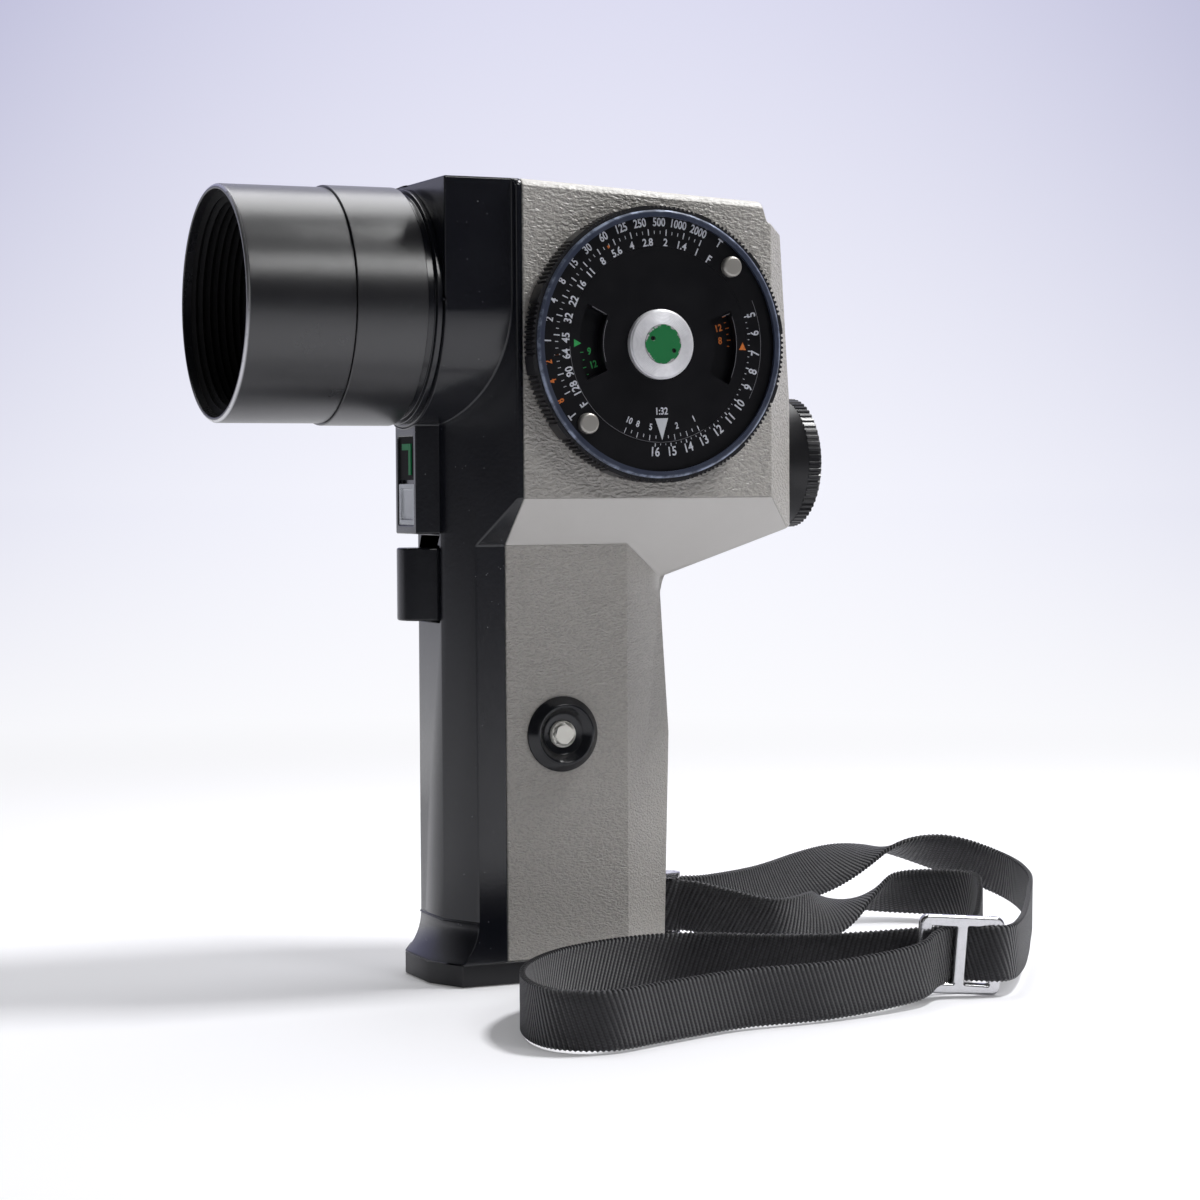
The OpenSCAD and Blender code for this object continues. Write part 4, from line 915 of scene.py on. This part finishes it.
studio = {
    "floor": (0.80, 0.80, 0.83),
    "floorGlow": 0.14,  # lifts the floor to white where no shadow falls
    "back": (0.403, 0.915, 0.0),  # away from the camera
    "across": (0.915, -0.403, 0.0),
    "horizon": (0.92, 0.925, 1.0),
    "overhead": (0.69, 0.69, 0.86),
    "roomBehind": 0.03,  # the dark side of the room
    "roomAhead": 0.6,
}
lamps = {
    # power in watts, size, place
    "backLamp": (4.0, (0.6, 0.55), (0.05, 0.3, 0.88)),
    "keyLamp": (6.2, (0.15, 0.15), (0.44, -0.13, 0.8)),
    "fillLamp": (0.3, (0.5, 0.4), (-0.62, -0.8, 0.36)),
    "faceLamp": (2.0, (0.3, 0.3), (0.39, -0.85, 0.80)),
}


def dotWith(shading, at, direction):
    return shading.node("VectorMath", {0: at, 1: direction}, output=1, operation="DOT_PRODUCT")


def backdropColour(shading, ahead, height):
    # white at the horizon, greyer above it and towards the sides
    rise = shading.clamped(height / 0.2)
    colour = shading.mixed(rise, studio["horizon"], studio["overhead"])
    across = dotWith(shading, ahead, studio["across"])
    aside = shading.maths("MINIMUM", across * across, 0.06)
    dim = 1 - aside * (shading.clamped(height * 5) * 3.6 + 3.0)
    grey = shading.node("CombineXYZ", {0: dim, 1: dim, 2: dim * 0.75 + 0.25})
    return shading.mixed(1.0, colour, grey, "MULTIPLY")


def addFloor():
    bm = bmesh.new()
    bmesh.ops.create_grid(bm, x_segments=1, y_segments=1, size=14)
    bmesh.ops.translate(bm, verts=bm.verts, vec=(0, 0, cadBox[0].z - 0.0002))
    mesh = bpy.data.meshes.new("studioFloor")
    bm.to_mesh(mesh)
    bm.free()
    finish = Finish("studioFloor", studio["floor"], 0.8, Specular_IOR_Level=0.0)
    rays = finish.tree.nodes.new("ShaderNodeLightPath")
    direct = Wire(finish, rays.outputs["Is Camera Ray"])
    mirrored = Wire(finish, rays.outputs["Is Glossy Ray"]) + Wire(finish, rays.outputs["Is Transmission Ray"])
    at = finish.place()
    beyond = finish.ramp(dotWith(finish, at, studio["back"]), -0.45, 0.5)
    seen = finish.clamped(direct + mirrored * beyond)
    distance = finish.node("VectorMath", {0: at}, output=1, operation="LENGTH")
    far = finish.ramp(distance, 0.22, 0.75) * seen
    farther = finish.clamped((distance - 0.3) / (distance + 0.6) * 1.07)
    fromCamera = finish.node("VectorMath", {0: at, 1: viewpoint["place"]}, operation="SUBTRACT")
    ahead = finish.node("VectorMath", {0: fromCamera}, operation="NORMALIZE")
    paleFloor = finish.mixed(farther, (1.0, 1.0, 1.0), backdropColour(finish, ahead, finish.axis("Z", at) * 0))
    glow = finish.mixed(direct * studio["floorGlow"], (0, 0, 0), (1, 1, 1))
    finish.feed(
        Base_Color=finish.mixed(far, studio["floor"], (0, 0, 0)),
        Emission_Color=finish.mixed(far, glow, paleFloor),
    )
    finish.shader.inputs["Emission Strength"].default_value = 1.0
    mesh.materials.append(finish.material)
    floor = bpy.data.objects.new("studioFloor", mesh)
    bpy.context.scene.collection.objects.link(floor)


def addLamp(name, power, size, place, target=(0.02, 0.0, 0.09)):
    data = bpy.data.lights.new(name, "AREA")
    data.shape = "RECTANGLE"
    data.size, data.size_y = size
    data.energy = power
    lamp = bpy.data.objects.new(name, data)
    bpy.context.scene.collection.objects.link(lamp)
    lamp.location = place
    lamp.rotation_euler = (Vector(target) - Vector(place)).to_track_quat("-Z", "Y").to_euler()


def addWorld():
    world = bpy.data.worlds.new("studioWorld")
    bpy.context.scene.world = world
    world.use_nodes = True
    sky = Shading(world.node_tree)
    paint = world.node_tree.nodes["Background"]
    rays = world.node_tree.nodes.new("ShaderNodeLightPath")
    ahead = sky.node("TexCoord", {}, output=0)
    height = sky.axis("Z", ahead)
    backdrop = backdropColour(sky, ahead, height)
    # what lights the object: bright beyond it, dark behind the camera
    beyond = sky.ramp(dotWith(sky, ahead, studio["back"]), -0.05, 0.85)
    bright = tuple(part * studio["roomAhead"] for part in studio["horizon"])
    room = sky.mixed(beyond, (studio["roomBehind"],) * 3, bright)
    seen = Wire(sky, rays.outputs["Is Camera Ray"])
    mirrored = Wire(sky, rays.outputs["Is Glossy Ray"]) + Wire(sky, rays.outputs["Is Transmission Ray"])
    seen = sky.clamped(seen + mirrored * sky.ramp(beyond, 0.5, 0.95))
    shown = sky.mixed(seen, room, backdrop)
    world.node_tree.links.new(shown.socket, paint.inputs["Color"])
    paint.inputs["Strength"].default_value = 1.0


addFloor()
for name, (power, size, place) in lamps.items():
    addLamp(name, power, size, place)
addWorld()
bpy.context.scene.view_settings.view_transform = "Standard"
print("studio lit")
